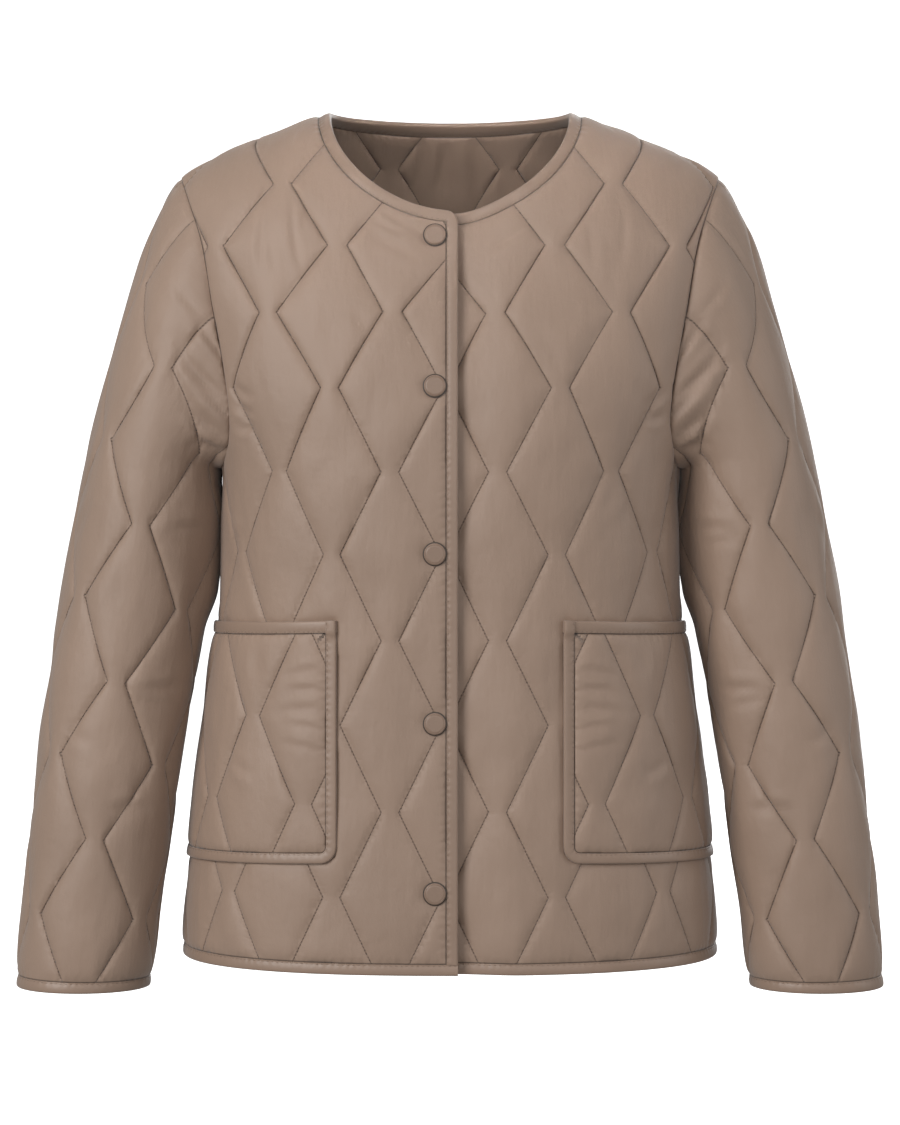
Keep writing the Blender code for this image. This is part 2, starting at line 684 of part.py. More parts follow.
def make_front(side):
    """A front: from its bound front edge to the side seam, flat under its pocket and snaps."""
    body = Body(FRONT, side)
    reach = LAP_OVER if side == RIGHT else LAP_UNDER
    edge = BINDING - reach
    neck = neck_curve(body, BINDING, 14)
    neck = neck[neck[:, 0] > max(edge, 0) + 0.004]
    neck_end = (edge, float(body.up(FRONT_NECK_HEIGHT - BINDING)))
    side_edge = side_pattern(body)
    hem_end = (edge, BINDING)
    outline = np.concatenate(
        [
            side_edge,
            armhole_pattern(body),
            shoulder_pattern(body),
            neck,
            chain(neck_end, hem_end),
            chain(hem_end, side_edge[0]),
        ]
    )
    quilting = Quilting(FIRST_LINE[side], body.up(np.array(FRONT_TURNS)))
    pocket = pocket_outline(body, *(3 * [-POCKET_REST]), POCKET_SIDE_INSET / 3)
    under_pocket = pocket_panel(body)
    creases = quilting.creases(outline, pocket)
    tufts = quilting.tufts(outline, pocket)
    lines = creases + [np.concatenate([p, p[:1]]) for p in (pocket, under_pocket)]
    loose = [lattice(under_pocket, POCKET_LINING_SPACING, 0.4 * POCKET_LINING_SPACING)]
    snaps = []
    if side == RIGHT:
        turns = np.radians(np.arange(0, 360, 45))
        ring = np.column_stack([np.cos(turns), np.sin(turns)]) * (SNAP_RADIUS + SNAP_CLEAR)
        snaps = [np.array(place) for place in snap_places()]
        clear = np.min([np.linalg.norm(tufts - place, axis=1) for place in snaps], axis=0)
        tufts = tufts[clear > 2 * SNAP_RADIUS]
        for place in snaps:
            points = np.concatenate([place + ring, [place]])
            loose.append(points[points[:, 0] > edge + 0.0015])
    armhole = armhole_pattern(body)
    loose += [rim_row(armhole, outline, armhole[:1]), tufts]

    def outer(pattern):
        height = puff(quilting.distance(pattern, outline)) * flattened(pattern, pocket)
        for place in snaps:
            away = np.linalg.norm(pattern - place, axis=1) - SNAP_RADIUS - SNAP_CLEAR
            height = height * np.clip(away / SNAP_RADIUS, 0, 1)
        if side == LEFT:
            in_sight = np.clip((pattern[:, 0] - LAP_OVER) / (LAP_SLOPE / 2), 0, 1)
            height = height * in_sight - lap_sink(pattern)
        return height

    def inner(pattern):
        return 0 * pattern[:, 0] - WALL - (lap_sink(pattern) if side == LEFT else 0)

    name = {RIGHT: "front_right", LEFT: "front_left"}[side]
    if snaps:
        lines = [trimmed for line in lines for trimmed in around_snaps(line, snaps)]
    cut_cloth(name, body, outline, outer, inner, lines, np.concatenate(loose))


def around_snaps(line, snaps):
    """A stitch line in the pieces that are left when the snaps cover parts of it."""
    away = np.min([np.linalg.norm(line - place, axis=1) for place in snaps], axis=0)
    kept = away > SNAP_RADIUS + 0.004
    edges = np.flatnonzero(np.diff(np.concatenate([[False], kept, [False]]).astype(int)))
    return [line[a:b] for a, b in zip(edges[::2], edges[1::2]) if b - a > 1]


def make_back():
    """The back, in one piece."""
    body = Body(BACK, LEFT)
    half = np.concatenate(
        [
            side_pattern(body),
            armhole_pattern(body),
            shoulder_pattern(body),
            neck_curve(body, BINDING, 14),
        ]
    )
    mirrored = half[-2::-1] * (-1, 1)
    hem = chain(mirrored[-1], half[0])[1:]
    outline = np.concatenate([half, mirrored, hem])
    quilting = Quilting(LINE_SPACING / 2, body.up(BACK_TURN) + HALF_PERIOD * np.arange(-9, 1))

    def outer(pattern):
        return puff(quilting.distance(pattern, outline))

    def inner(pattern):
        return 0 * pattern[:, 0] - WALL

    armhole = armhole_pattern(body)
    rim = rim_row(armhole, outline, armhole[:1])
    loose = np.concatenate([rim, rim * (-1, 1), quilting.tufts(outline)])
    cut_cloth("back", body, outline, outer, inner, quilting.creases(outline), loose)


def make_sleeve(side):
    """A sleeve in one piece, with its seam under the arm, and the binding of its cuff."""
    sleeve = Sleeve(side)
    across = np.interp(np.linspace(1.5, -0.5, 59) * math.pi, sleeve.ANGLES, sleeve.cap_across)
    across[[0, -1]] -= (SEAM_GAP / 2, -SEAM_GAP / 2)
    cap = np.column_stack([across, sleeve.seam_up(across)])
    seam_up = np.linspace(BINDING, sleeve.top, 24)[:-1]
    girth = sleeve.girth(seam_up)
    inner_side = np.column_stack([-girth / 4 + SEAM_GAP / 2, seam_up])
    outer_side = np.column_stack([0.75 * girth - SEAM_GAP / 2, seam_up])
    cuff = chain(inner_side[0], outer_side[0])[1:]
    outline = np.concatenate([outer_side, cap, inner_side[::-1], cuff])
    quilting = Quilting(LINE_SPACING / 2, SLEEVE_TURN + SLEEVE_HALF_PERIOD * np.arange(12))

    def outer(pattern):
        return puff(quilting.distance(pattern, outline))

    def inner(pattern):
        return 0 * pattern[:, 0] - WALL

    suffix = {RIGHT: "right", LEFT: "left"}[side]
    loose = np.concatenate([rim_row(cap, outline, cap[[0, -1]]), quilting.tufts(outline)])
    cut_cloth(f"sleeve_{suffix}", sleeve, outline, outer, inner, quilting.creases(outline), loose)

    edges = []
    for up in (BINDING, 0.0):
        girth = sleeve.girth(up)[0]
        around = np.linspace(-0.25, 0.75, 25)[:-1] * girth
        edges.append(np.column_stack([around, 0 * around + up]))
    strip = rails(sleeve, *edges)
    bind(f"cuff_binding_{suffix}", *strip, EDGE_MIDDLE, EDGE_HALF, closed=True)


def rails(form, *patterns, sink=None):
    """Where the edges of a strip come to on a form, and the way out along the first one."""
    outward = form.outward(patterns[0])
    lowered = outward * (0 if sink is None else -sink(patterns[0])[:, None])
    return [form.at(p) + lowered for p in patterns] + [outward]


def joined(*runs):
    """Runs of rails one after the other."""
    return [np.concatenate(parts) for parts in zip(*runs)]


def make_neck_binding():
    """From the right front's edge, round the back of the neck, to the left front's edge."""
    runs = []
    for side, reach, sink in ((RIGHT, LAP_OVER, None), (LEFT, LAP_UNDER, lap_sink)):
        body = Body(FRONT, side)
        edges = []
        for grow in (BINDING, 0):
            curve = neck_curve(body, grow, 14)
            curve[-1, 0] = 0
            past = chain((-reach, curve[-1, 1]), curve[-1], 0.013)
            edges.append(np.concatenate([curve[:-1], past[::-1]]))
        runs.append(rails(body, *edges, sink=sink))
    back = Body(BACK, LEFT)
    edges = []
    for grow in (BINDING, 0):
        half = neck_curve(back, grow, 14)
        edges.append(np.concatenate([half[1:] * (-1, 1), half[-2:0:-1]]))
    over_back = rails(back, *edges)
    right, left = runs
    panel_edge, free_edge, outward = joined([part[::-1] for part in right], over_back, left)
    bind("neck_binding", panel_edge, free_edge, outward, EDGE_MIDDLE, EDGE_HALF)


def make_front_edge_binding(side):
    """Down a front's edge, between the neck binding and the hem binding."""
    body = Body(FRONT, side)
    reach = LAP_OVER if side == RIGHT else LAP_UNDER
    top = float(body.up(FRONT_NECK_HEIGHT - BINDING)) - SEAM_GAP
    up = np.linspace(BINDING + SEAM_GAP, top, 22)
    panel_edge = np.column_stack([0 * up + BINDING - reach, up])
    free_edge = np.column_stack([0 * up - reach, up])
    strip = rails(body, panel_edge, free_edge, sink=lap_sink if side == LEFT else None)
    name = {RIGHT: "front_edge_binding_right", LEFT: "front_edge_binding_left"}[side]
    bind(name, *strip, EDGE_MIDDLE, EDGE_HALF)


def make_hem_binding():
    """Round the hem, from the right front's edge by way of the back to the left front's."""
    quarters = (
        (FRONT, RIGHT, -LAP_OVER, None),
        (BACK, RIGHT, 0.0, None),
        (BACK, LEFT, 0.0, None),
        (FRONT, LEFT, -LAP_UNDER, lap_sink),
    )
    shares = np.linspace(0, 1, 15)[:, None]
    runs = []
    for facing, side, start, sink in quarters:
        body = Body(facing, side)
        edges = []
        for up in (BINDING, 0.0):
            seam = float(body.side_seam(up)[0])
            edges.append(np.array((start, up)) + shares * (seam - start, 0))
        run = rails(body, *edges, sink=sink)
        towards_middle = (facing == FRONT) == (side == LEFT)
        run = [part[::-1] if towards_middle else part for part in run]
        runs.append([part[1:] for part in run] if runs else run)
    bind("hem_binding", *joined(*runs), EDGE_MIDDLE, EDGE_HALF)


def make_pocket(side):
    """A patch pocket that lies on its front: the quilted panel and its two bindings."""
    body = Body(FRONT, side)
    outline = pocket_panel(body)
    turns = body.up(np.array(FRONT_TURNS)) + POCKET_TURNS_UP
    quilting = Quilting(FIRST_LINE[RIGHT] + POCKET_LINES_OUT, turns)

    def outer(pattern):
        return SEAM_GAP + POCKET_WALL + puff(quilting.distance(pattern, outline))

    def inner(pattern):
        return 0 * pattern[:, 0] + SEAM_GAP

    suffix = {RIGHT: "right", LEFT: "left"}[side]
    cut_cloth(
        f"pocket_{suffix}",
        body,
        outline,
        outer,
        inner,
        quilting.creases(outline),
        quilting.tufts(outline),
        lining=POCKET_LINING_SPACING,
    )
    lift = (POCKET_BINDING_LIFT, POCKET_BINDING_HALF)
    bind(f"pocket_top_binding_{suffix}", *pocket_top_strip(body), *lift)
    bind(f"pocket_edge_binding_{suffix}", *pocket_edge_strip(body), *lift)


def pocket_top_strip(body):
    """Both edges of the binding of a pocket's mouth."""
    return rails(body, *(pocket_mouth(body, inset, 14) for inset in (POCKET_TOP_BINDING, 0.0)))


def pocket_edge_strip(body):
    """Both edges of the binding down a pocket's inner side, round its corner and along its foot."""
    bottom = body.up(POCKET_BOTTOM)
    turn = np.radians(np.linspace(180, 270, 6))
    centre = np.array([POCKET_INNER, bottom]) + POCKET_CORNER
    mouth = pocket_mouth(body, POCKET_TOP_BINDING + 2 * SEAM_GAP)
    strip = []
    for inset in (POCKET_EDGE_BINDING, 0.0):
        start = np.array((POCKET_INNER + inset, np.interp(POCKET_INNER + inset, *mouth.T)))
        corner = centre + np.column_stack([np.cos(turn), np.sin(turn)]) * (POCKET_CORNER - inset)
        foot_up = bottom - POCKET_SIDE_DROP + inset
        end = np.array((body.side_seam(foot_up)[0] - POCKET_SIDE_INSET, foot_up))
        down = start + np.linspace(0, 1, 9)[:-1, None] * (corner[0] - start)
        along = corner[-1] + np.linspace(0, 1, 14)[1:, None] * (end - corner[-1])
        strip.append(np.concatenate([down, corner, along]))
    return rails(body, *strip)


def make_snap(number, place):
    """A flat round cap on a short foot."""
    body = Body(FRONT, RIGHT)
    pattern = np.array([place])
    centre, outward = body.at(pattern)[0], body.outward(pattern)[0]
    profile = [
        (SNAP_FOOT_RADIUS, SEAM_GAP),
        (SNAP_FOOT_RADIUS, SNAP_FOOT),
        (0.97 * SNAP_RADIUS, SNAP_FOOT),
        (SNAP_RADIUS, (SNAP_FOOT + SNAP_HEIGHT) / 2),
        (0.88 * SNAP_RADIUS, SNAP_HEIGHT),
    ]
    turns = np.linspace(0, 2 * math.pi, 17)[:-1]
    mesh_builder = bmesh.new()
    frame = Vector(outward).to_track_quat("Z", "Y").to_matrix().to_4x4()
    frame = Matrix.Translation(Vector(centre)) @ frame
    rings = [
        [mesh_builder.verts.new(frame @ Vector((r * math.cos(a), r * math.sin(a), h))) for a in turns]
        for r, h in profile
    ]
    for ring, after in zip(rings, rings[1:]):
        for i in range(len(ring)):
            j = (i + 1) % len(ring)
            mesh_builder.faces.new([ring[i], ring[j], after[j], after[i]])
    mesh_builder.faces.new(rings[0])
    mesh_builder.faces.new(rings[-1])
    add_object(f"snap_{number}", mesh_builder, SNAP_COLOUR, 0.4)


for old in list(bpy.data.objects):
    bpy.data.objects.remove(old)
make_front(RIGHT)
make_front(LEFT)
make_back()
for wearer_side in (RIGHT, LEFT):
    make_sleeve(wearer_side)
    make_front_edge_binding(wearer_side)
    make_pocket(wearer_side)
make_neck_binding()
make_hem_binding()
for number, place in enumerate(snap_places(), 1):
    make_snap(number, place)
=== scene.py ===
"""The looks of a short quilted coat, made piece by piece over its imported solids.

Every cloth piece is drawn flat, in a pattern of distances (across, up) in metres, and laid on
the form of the filled-out coat. Right and left are the wearer's: right is -x, and the front
faces -y.
"""

import math

import bmesh
import bpy
import numpy as np
from mathutils import Matrix, Vector


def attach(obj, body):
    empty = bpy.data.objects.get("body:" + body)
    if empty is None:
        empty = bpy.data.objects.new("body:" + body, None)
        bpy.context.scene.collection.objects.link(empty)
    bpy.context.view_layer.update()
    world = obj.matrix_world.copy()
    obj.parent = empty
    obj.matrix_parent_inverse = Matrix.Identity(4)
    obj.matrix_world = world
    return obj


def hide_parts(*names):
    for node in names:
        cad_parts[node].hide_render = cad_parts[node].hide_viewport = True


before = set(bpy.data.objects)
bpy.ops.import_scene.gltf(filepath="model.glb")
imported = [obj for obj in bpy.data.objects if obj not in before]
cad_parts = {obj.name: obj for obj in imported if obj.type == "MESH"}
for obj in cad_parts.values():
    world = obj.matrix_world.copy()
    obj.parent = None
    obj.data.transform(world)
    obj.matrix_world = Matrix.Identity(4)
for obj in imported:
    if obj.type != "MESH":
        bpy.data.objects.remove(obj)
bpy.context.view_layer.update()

# ================================================================ the two fronts
# Nylon quilted over light padding, in mirrored zigzag rows that never meet. Each front is cut
# to shape after quilting and sewn to the back at the shoulder and the side. The right one laps
# over the left one.
FRONT, BACK = -1, 1
RIGHT, LEFT = -1, 1
SIDE_NAME = {RIGHT: "right", LEFT: "left"}
WALL = 0.0025  # the cloth where it is stitched down
BINDING = 0.0080  # finished width of the bindings
HEM_HEIGHT = -0.600
UNDERARM_HEIGHT = -0.250
NECK_SHOULDER_X = 0.0936
NECK_MIDDLE = 0.040
NECK_HALF_WIDTH = NECK_SHOULDER_X - BINDING
NECK_ROUNDNESS = 1.8
FRONT_NECK_HEIGHT = -0.0702
BACK_NECK_HEIGHT = -0.0005
SHOULDER_TIP_X = 0.1922
SHOULDER_SLOPE = 0.385
SHOULDER_TIP_DROP = 0.0060
SHOULDER_ROUNDING = 0.080
SECTION_SQUARENESS = 2.4
LAP_OVER = 0.0055  # the right front ends this far past the middle
LAP_UNDER = 0.0260  # the left front runs this far under it
LAP_SINK = 0.0082
LAP_SLOPE = 0.0460
SNAP_RADIUS = 0.0075
SNAP_ACROSS = 0.0104
SNAP_HEIGHTS = (-0.5428, -0.4252, -0.3080, -0.1925, -0.0880)

TORSO = np.rec.fromrecords(
    [
        (-0.600, 0.1920, 0.1270, 0.1250),
        (-0.555, 0.1888, 0.1268, 0.1225),
        (-0.500, 0.1830, 0.1262, 0.1190),
        (-0.430, 0.1742, 0.1250, 0.1150),
        (-0.388, 0.1690, 0.1243, 0.1132),
        (-0.338, 0.1632, 0.1243, 0.1132),
        (-0.300, 0.1618, 0.1252, 0.1150),
        (-0.250, 0.1635, 0.1255, 0.1185),
        (-0.190, 0.1785, 0.1200, 0.1210),
        (-0.140, 0.1910, 0.1085, 0.1180),
        (-0.090, 0.2035, 0.0930, 0.1080),
        (-0.045, 0.2150, 0.0800, 0.0930),
        (0.045, 0.2370, 0.0620, 0.0620),
    ],
    names="height, half_width, front_depth, back_depth",
)
ARMHOLE = np.rec.fromrecords(
    [
        (-0.0670, 0.1828),
        (-0.0930, 0.1742),
        (-0.1080, 0.1712),
        (-0.1370, 0.1665),
        (-0.1690, 0.1605),
        (-0.2000, 0.1555),
        (-0.2220, 0.1540),
        (-0.2360, 0.1555),
        (-0.2440, 0.1585),
        (-0.2482, 0.1613),
    ],
    names="height, x",
)

LINE_SPACING = 0.0413
LINE_SWING = 0.0145
HALF_PERIOD = 0.0595
FIRST_LINE = {RIGHT: 0.0207, LEFT: 0.0124}
FRONT_TURNS = np.array(
    [
        *(-0.5465, -0.4868, -0.4270, -0.3683, -0.3089, -0.2517),
        *(-0.1939, -0.1414, -0.0949, -0.0513, -0.0120),
    ]
)
RUMPLE = 0.0018  # how far each wave of unevenness rises, as a share of its length
WAVE_COUNT = 40
WAVE_LENGTHS = (0.016, 0.050)
WAVE_STRETCH = 0.6  # the waves are longer up the coat than across it
LINE_DRIFT = {  # height, then how much the lines spread apart and shift there
    RIGHT: [
        (-0.2517, 0.0, 0.0),
        (-0.1939, 0.03, -0.0015),
        (-0.1414, 0.08, -0.0050),
        (-0.0949, 0.10, -0.0125),
        (-0.0513, 0.10, -0.0170),
    ],
    LEFT: [
        (-0.2517, 0.0, 0.0),
        (-0.1939, 0.03, 0.0),
        (-0.1414, 0.08, -0.0042),
        (-0.0949, 0.10, -0.0090),
        (-0.0513, 0.10, -0.0110),
    ],
}
PUFF_CRISP, CRISP_REACH = 0.0014, 0.0022  # the padding rolls up beside each stitch line
PUFF_ROUND, ROUND_REACH = 0.0027, 0.0150  # and then swells gently over the whole diamond
FOLD_BOW = 0.6  # how far a fold's ends bend aside, in its widths
RIDGE_RISE, RIDGE_AWAY = 0.6, 1.7  # the ridge beside a fold, in its depths and widths
FOLD_FADE = 3  # folds die out where the padding is under a third of its height
SNAP_DIMPLE = 0.0045  # how far the padding round a snap is pressed in
STEEPER = (0.6, 1.0)  # how steep a line is before points move along it and not across
SHORTEST_RUN = 8  # points in the shortest row of stitches that is sewn
STITCH_RISE = 0.0001


def smooth(at, stations, values):
    """The value at a place between a table's rows, with no kinks at the rows."""
    slopes = np.gradient(values, stations)
    i = np.clip(np.searchsorted(stations, at) - 1, 0, len(stations) - 2)
    span = stations[i + 1] - stations[i]
    t = np.clip((at - stations[i]) / span, 0, 1)
    start = values[i] * (2 * t**3 - 3 * t**2 + 1) + span * slopes[i] * (t**3 - 2 * t**2 + t)
    end = values[i + 1] * (3 * t**2 - 2 * t**3) + span * slopes[i + 1] * (t**3 - t**2)
    return start + end


def ease(share):
    """0 to 1, starting and ending gently."""
    share = np.clip(share, 0, 1)
    return share * share * (3 - 2 * share)


def unit(vectors):
    return vectors / np.linalg.norm(vectors, axis=-1, keepdims=True)


def running_length(points):
    """The distance along a chain of points, from its first one."""
    steps = np.linalg.norm(np.diff(points, axis=-2), axis=-1)
    return np.concatenate([np.zeros(steps.shape[:-1] + (1,)), np.cumsum(steps, axis=-1)], axis=-1)


def at_lengths(stops, lengths, points):
    """The places at these stops on a chain of points, from the running length to each point."""
    return np.stack([np.interp(stops, lengths, column) for column in points.T], axis=-1)


def along(points, shares):
    """The places at these shares of a chain's length."""
    lengths = running_length(points)
    return at_lengths(shares * lengths[-1], lengths, points)


def pick(at, stations, values):
    """For each place, the value read from its own row of stations and values."""
    return np.array([np.interp(a, s, v) for a, s, v in zip(at, stations, values)])


def shoulder_height(x):
    """The height of the shoulder seam; the line carries on over the neck, rounded in the middle."""
    rounded = (x**2 + NECK_MIDDLE**2) / (2 * NECK_MIDDLE)
    out = np.where(np.abs(x) < NECK_MIDDLE, rounded, np.abs(x)) - NECK_SHOULDER_X
    share = np.clip(out / (SHOULDER_TIP_X - NECK_SHOULDER_X), 0, 1.2)
    return -SHOULDER_SLOPE * out - SHOULDER_TIP_DROP * share**6


class Form:
    """A surface to lay a pattern on. A subclass says where a place in the pattern comes to."""

    def outward(self, pattern):
        """The way out of the coat, square to the surface."""
        step = 0.0005
        across = self.at(pattern + (step, 0)) - self.at(pattern - (step, 0))
        up = self.at(pattern + (0, step)) - self.at(pattern - (0, step))
        return unit(np.cross(across, up)) * self.flip

    def grain(self, pattern):
        """Where the cloth of each place in the pattern was when its rows were quilted."""
        return pattern


class Body(Form):
    """The front or the back of the body. Across is measured from the middle towards one side."""

    ANGLES = np.linspace(0, math.pi / 2, 91)
    HEIGHTS = np.arange(HEM_HEIGHT - 0.01, 0.045, 0.001)
    PROFILE_X = 0.070  # distances up are measured along the surface here
    STEEP_FROM = 0.95  # the share of the half width where the surface turns to the side
    SHOULDER_X = np.linspace(0.25, 0.0, 500)
    SHOULDER_Z = shoulder_height(SHOULDER_X)

    def __init__(self, facing, side):
        self.facing, self.side = facing, side
        self.flip = -facing * side
        self.depths = TORSO.front_depth if facing == FRONT else TORSO.back_depth
        depth = self.depth(self.PROFILE_X + 0 * self.HEIGHTS, self.HEIGHTS)
        lengths = running_length(np.column_stack([depth, self.HEIGHTS]))
        self.ups = lengths - np.interp(HEM_HEIGHT, self.HEIGHTS, lengths)

    def depth(self, x, height):
        """How far the surface is from the plane of the side seams."""
        half_width = smooth(height, TORSO.height, TORSO.half_width)
        across = np.clip(1 - (np.abs(x) / half_width) ** SECTION_SQUARENESS, 0, 1)
        into_top = 1 + (height - shoulder_height(x)) / SHOULDER_ROUNDING
        rounding = np.sqrt(1 - np.clip(into_top, 0, 1) ** 2)
        depth = smooth(height, TORSO.height, self.depths)
        return depth * across ** (1 / SECTION_SQUARENESS) * rounding

    def level(self, height):
        """Distances across and the places they come to, all round each level."""
        half_width = smooth(height, TORSO.height, TORSO.half_width)
        to_shoulder = np.interp(height, self.SHOULDER_Z, self.SHOULDER_X)
        end = np.clip(to_shoulder, 0.001, half_width)[:, None]
        x = end * np.sin(self.ANGLES) ** (2 / SECTION_SQUARENESS)
        y = self.depth(x, np.broadcast_to(height[:, None], x.shape))
        return running_length(np.stack([x, y], axis=-1)), x, y

    def up(self, height):
        return np.interp(height, self.HEIGHTS, self.ups)

    def across(self, x, height):
        """The distances across to places seen at x from the front."""
        lengths, xs, _ = self.level(height)
        return np.copysign(pick(np.abs(x), xs, lengths), x)

    def seen(self, x, height):
        """The places in the pattern that are seen at x and a height from the front."""
        return np.column_stack([self.across(x, height), self.up(height)])

    def side_seam(self, up):
        """The distances across to the side seam at distances up."""
        return self.level(np.interp(np.atleast_1d(up), self.ups, self.HEIGHTS))[0][:, -1]

    def at(self, pattern):
        height = np.interp(pattern[:, 1], self.ups, self.HEIGHTS)
        lengths, xs, ys = self.level(height)
        x = pick(np.abs(pattern[:, 0]), lengths, xs)
        y = pick(np.abs(pattern[:, 0]), lengths, ys)
        steep = x > self.STEEP_FROM * xs[:, -1]
        y = np.where(steep, y, self.depth(x, height))
        x = x * np.sign(pattern[:, 0]) * self.side
        return np.stack([x, self.facing * y, height], axis=-1)


def armhole_curve(count):
    """Seen from the front, the armhole seam from the side seam up to the shoulder tip."""
    tip = (SHOULDER_TIP_X, float(shoulder_height(SHOULDER_TIP_X)))
    bottom = (float(smooth(UNDERARM_HEIGHT, TORSO.height, TORSO.half_width)), UNDERARM_HEIGHT)
    rows = np.array([bottom] + list(zip(ARMHOLE.x, ARMHOLE.height))[::-1] + [tip])
    depths = Body(FRONT, LEFT).depth(rows[:, 0], rows[:, 1])
    lengths = running_length(np.column_stack([rows, depths]))
    shares = np.linspace(0, lengths[-1], count)
    return np.stack([smooth(shares, lengths, rows[:, k]) for k in (0, 1)], axis=-1)


def neck_curve(body, grow, count=61):
    """The neckline from the shoulder seam to the middle, as a pattern. Grow moves it outwards."""
    half_width = NECK_HALF_WIDTH + grow
    start = float(shoulder_height(half_width))
    end = FRONT_NECK_HEIGHT if body.facing == FRONT else BACK_NECK_HEIGHT
    angles = np.linspace(0, math.pi / 2, count)
    x = half_width * np.cos(angles) ** (2 / NECK_ROUNDNESS)
    height = start + (end - grow - start) * np.sin(angles) ** (2 / NECK_ROUNDNESS)
    return body.seen(x, height)


def side_and_armhole(body):
    """A body panel's outer edge, from the hem binding up to the shoulder tip."""
    side_up = np.linspace(BINDING, body.up(UNDERARM_HEIGHT), 80)[:-1]
    armhole = body.seen(*armhole_curve(121).T)
    return np.concatenate([np.column_stack([body.side_seam(side_up), side_up]), armhole])


def shoulder_seam(body):
    """The shoulder seam, from the neck out to the tip."""
    x = np.linspace(NECK_SHOULDER_X, SHOULDER_TIP_X, 60)
    return body.seen(x, shoulder_height(x))


def front_edge(body, reach):
    """A front's edge inside its binding, up to the neckline and round it to the shoulder."""
    edge = BINDING - reach
    neck = neck_curve(body, BINDING)[::-1]
    neck = neck[neck[:, 0] > max(edge, 0) + 0.002]
    corner = (edge, neck[0, 1])
    return np.concatenate([[(edge, BINDING), corner], neck])


class Quilting:
    """Zigzag stitch lines that run up a panel, each one the mirror image of the next."""

    def __init__(self, first_line, turns, drift=((0, 0, 0), (1, 0, 0))):
        """Drift: at these distances up the lines spread by this share and shift by this much."""
        self.first_line = first_line
        self.drift = np.array(drift).T
        before = turns[0] - (turns[1] - turns[0]) * np.arange(20, 0, -1)
        after = turns[-1] + (turns[-1] - turns[-2]) * np.arange(1, 6)
        self.turns = np.concatenate([before, turns, after])

    def phase(self, up):
        return np.interp(up, self.turns, np.arange(len(self.turns)))

    def line(self, number, up):
        """Where a stitch line is at a distance up the panel."""
        turn = np.abs(self.phase(up) % 2 - 1) * 2 - 1
        mirror = 1 - 2 * (number % 2)
        straight = self.first_line + LINE_SPACING * number - mirror * LINE_SWING * turn
        share, shift = (np.interp(up, self.drift[0], row) for row in self.drift[1:])
        return straight * (1 + share) + shift

    def spacings(self, pattern):
        """How many line spacings a place is from the first line, without the drift."""
        share, shift = (np.interp(pattern[..., 1], self.drift[0], row) for row in self.drift[1:])
        return ((pattern[..., 0] - shift) / (1 + share) - self.first_line) / LINE_SPACING

    def numbers(self, pattern):
        found = self.spacings(pattern)
        return range(math.floor(found.min()) - 1, math.ceil(found.max()) + 2)


def inside(points, outline):
    """Whether each point is inside the outline."""
    x, y = points[..., 0, None], points[..., 1, None]
    x1, y1 = outline.T
    x2, y2 = np.roll(outline, -1, axis=0).T
    crosses = (y1 > y) != (y2 > y)
    at = x1 + (y - y1) * (x2 - x1) / np.where(y1 == y2, 1, y2 - y1)
    return (crosses & (x < at)).sum(axis=-1) % 2 == 1


def spread(edges, share):
    """Places inside four edges that meet at their ends, for shares (across, up) of 0 to 1."""
    bottom, right, top, left = edges
    u, v = share[..., 0, None], share[..., 1, None]
    over = (1 - v) * along(bottom, share[..., 0]) + v * along(top, share[..., 0])
    upwards = (1 - u) * along(left, share[..., 1]) + u * along(right, share[..., 1])
    foot = (1 - u) * bottom[0] + u * bottom[-1]
    head = (1 - u) * top[0] + u * top[-1]
    return over + upwards - (1 - v) * foot - v * head


def settle(pattern, rounds=600, evenness=0.3):
    """Ease a grid of places inside its fixed edges until none of its cells folds over."""
    for _ in range(rounds):
        along_row = (pattern[1:-1, 2:] - pattern[1:-1, :-2]) / 2
        up_column = (pattern[2:, 1:-1] - pattern[:-2, 1:-1]) / 2
        skew = (along_row * up_column).sum(axis=-1, keepdims=True) / 2
        tall = (up_column**2).sum(axis=-1, keepdims=True)
        wide = (along_row**2).sum(axis=-1, keepdims=True)
        corners = pattern[2:, 2:] - pattern[2:, :-2] - pattern[:-2, 2:] + pattern[:-2, :-2]
        beside = pattern[1:-1, 2:] + pattern[1:-1, :-2]
        above = pattern[2:, 1:-1] + pattern[:-2, 1:-1]
        unfolded = (tall * beside + wide * above - skew * corners) / (2 * (tall + wide))
        pattern[1:-1, 1:-1] = (1 - evenness) * unfolded + evenness * (beside + above) / 4
    return pattern


def swell(held, cell, height, reach):
    """The height of padding over a grid of points: 0 where it is held, rounding up over reach."""
    pull = (cell / reach) ** 2 / 4
    found = np.where(held, 0.0, height)
    for _ in range(60 + int(9 * (reach / cell) ** 2)):
        beside = np.pad(found, 1, mode="edge")
        mean = (beside[:-2, 1:-1] + beside[2:, 1:-1] + beside[1:-1, :-2] + beside[1:-1, 2:]) / 4
        found = np.where(held, 0.0, (mean + pull * height) / (1 + pull))
    return found


def crease(pattern, across, up, angle, length, width, depth):
    """A soft trough with a ridge on one side, laid at an angle from upright, in degrees."""
    turn = math.radians(angle)
    from_middle = pattern - (across, up)
    lengthwise = from_middle @ (-math.sin(turn), math.cos(turn)) / length * 2
    beside = from_middle @ (math.cos(turn), math.sin(turn)) / width + FOLD_BOW * lengthwise**2
    profile = RIDGE_RISE * np.exp(-((beside - RIDGE_AWAY) ** 2)) - np.exp(-(beside**2))
    return depth * profile * np.clip(1 - lengthwise**2, 0, 1) ** 1.5


def no_lift(pattern):
    """For a panel that lies on its form."""
    return 0 * pattern[:, 0]


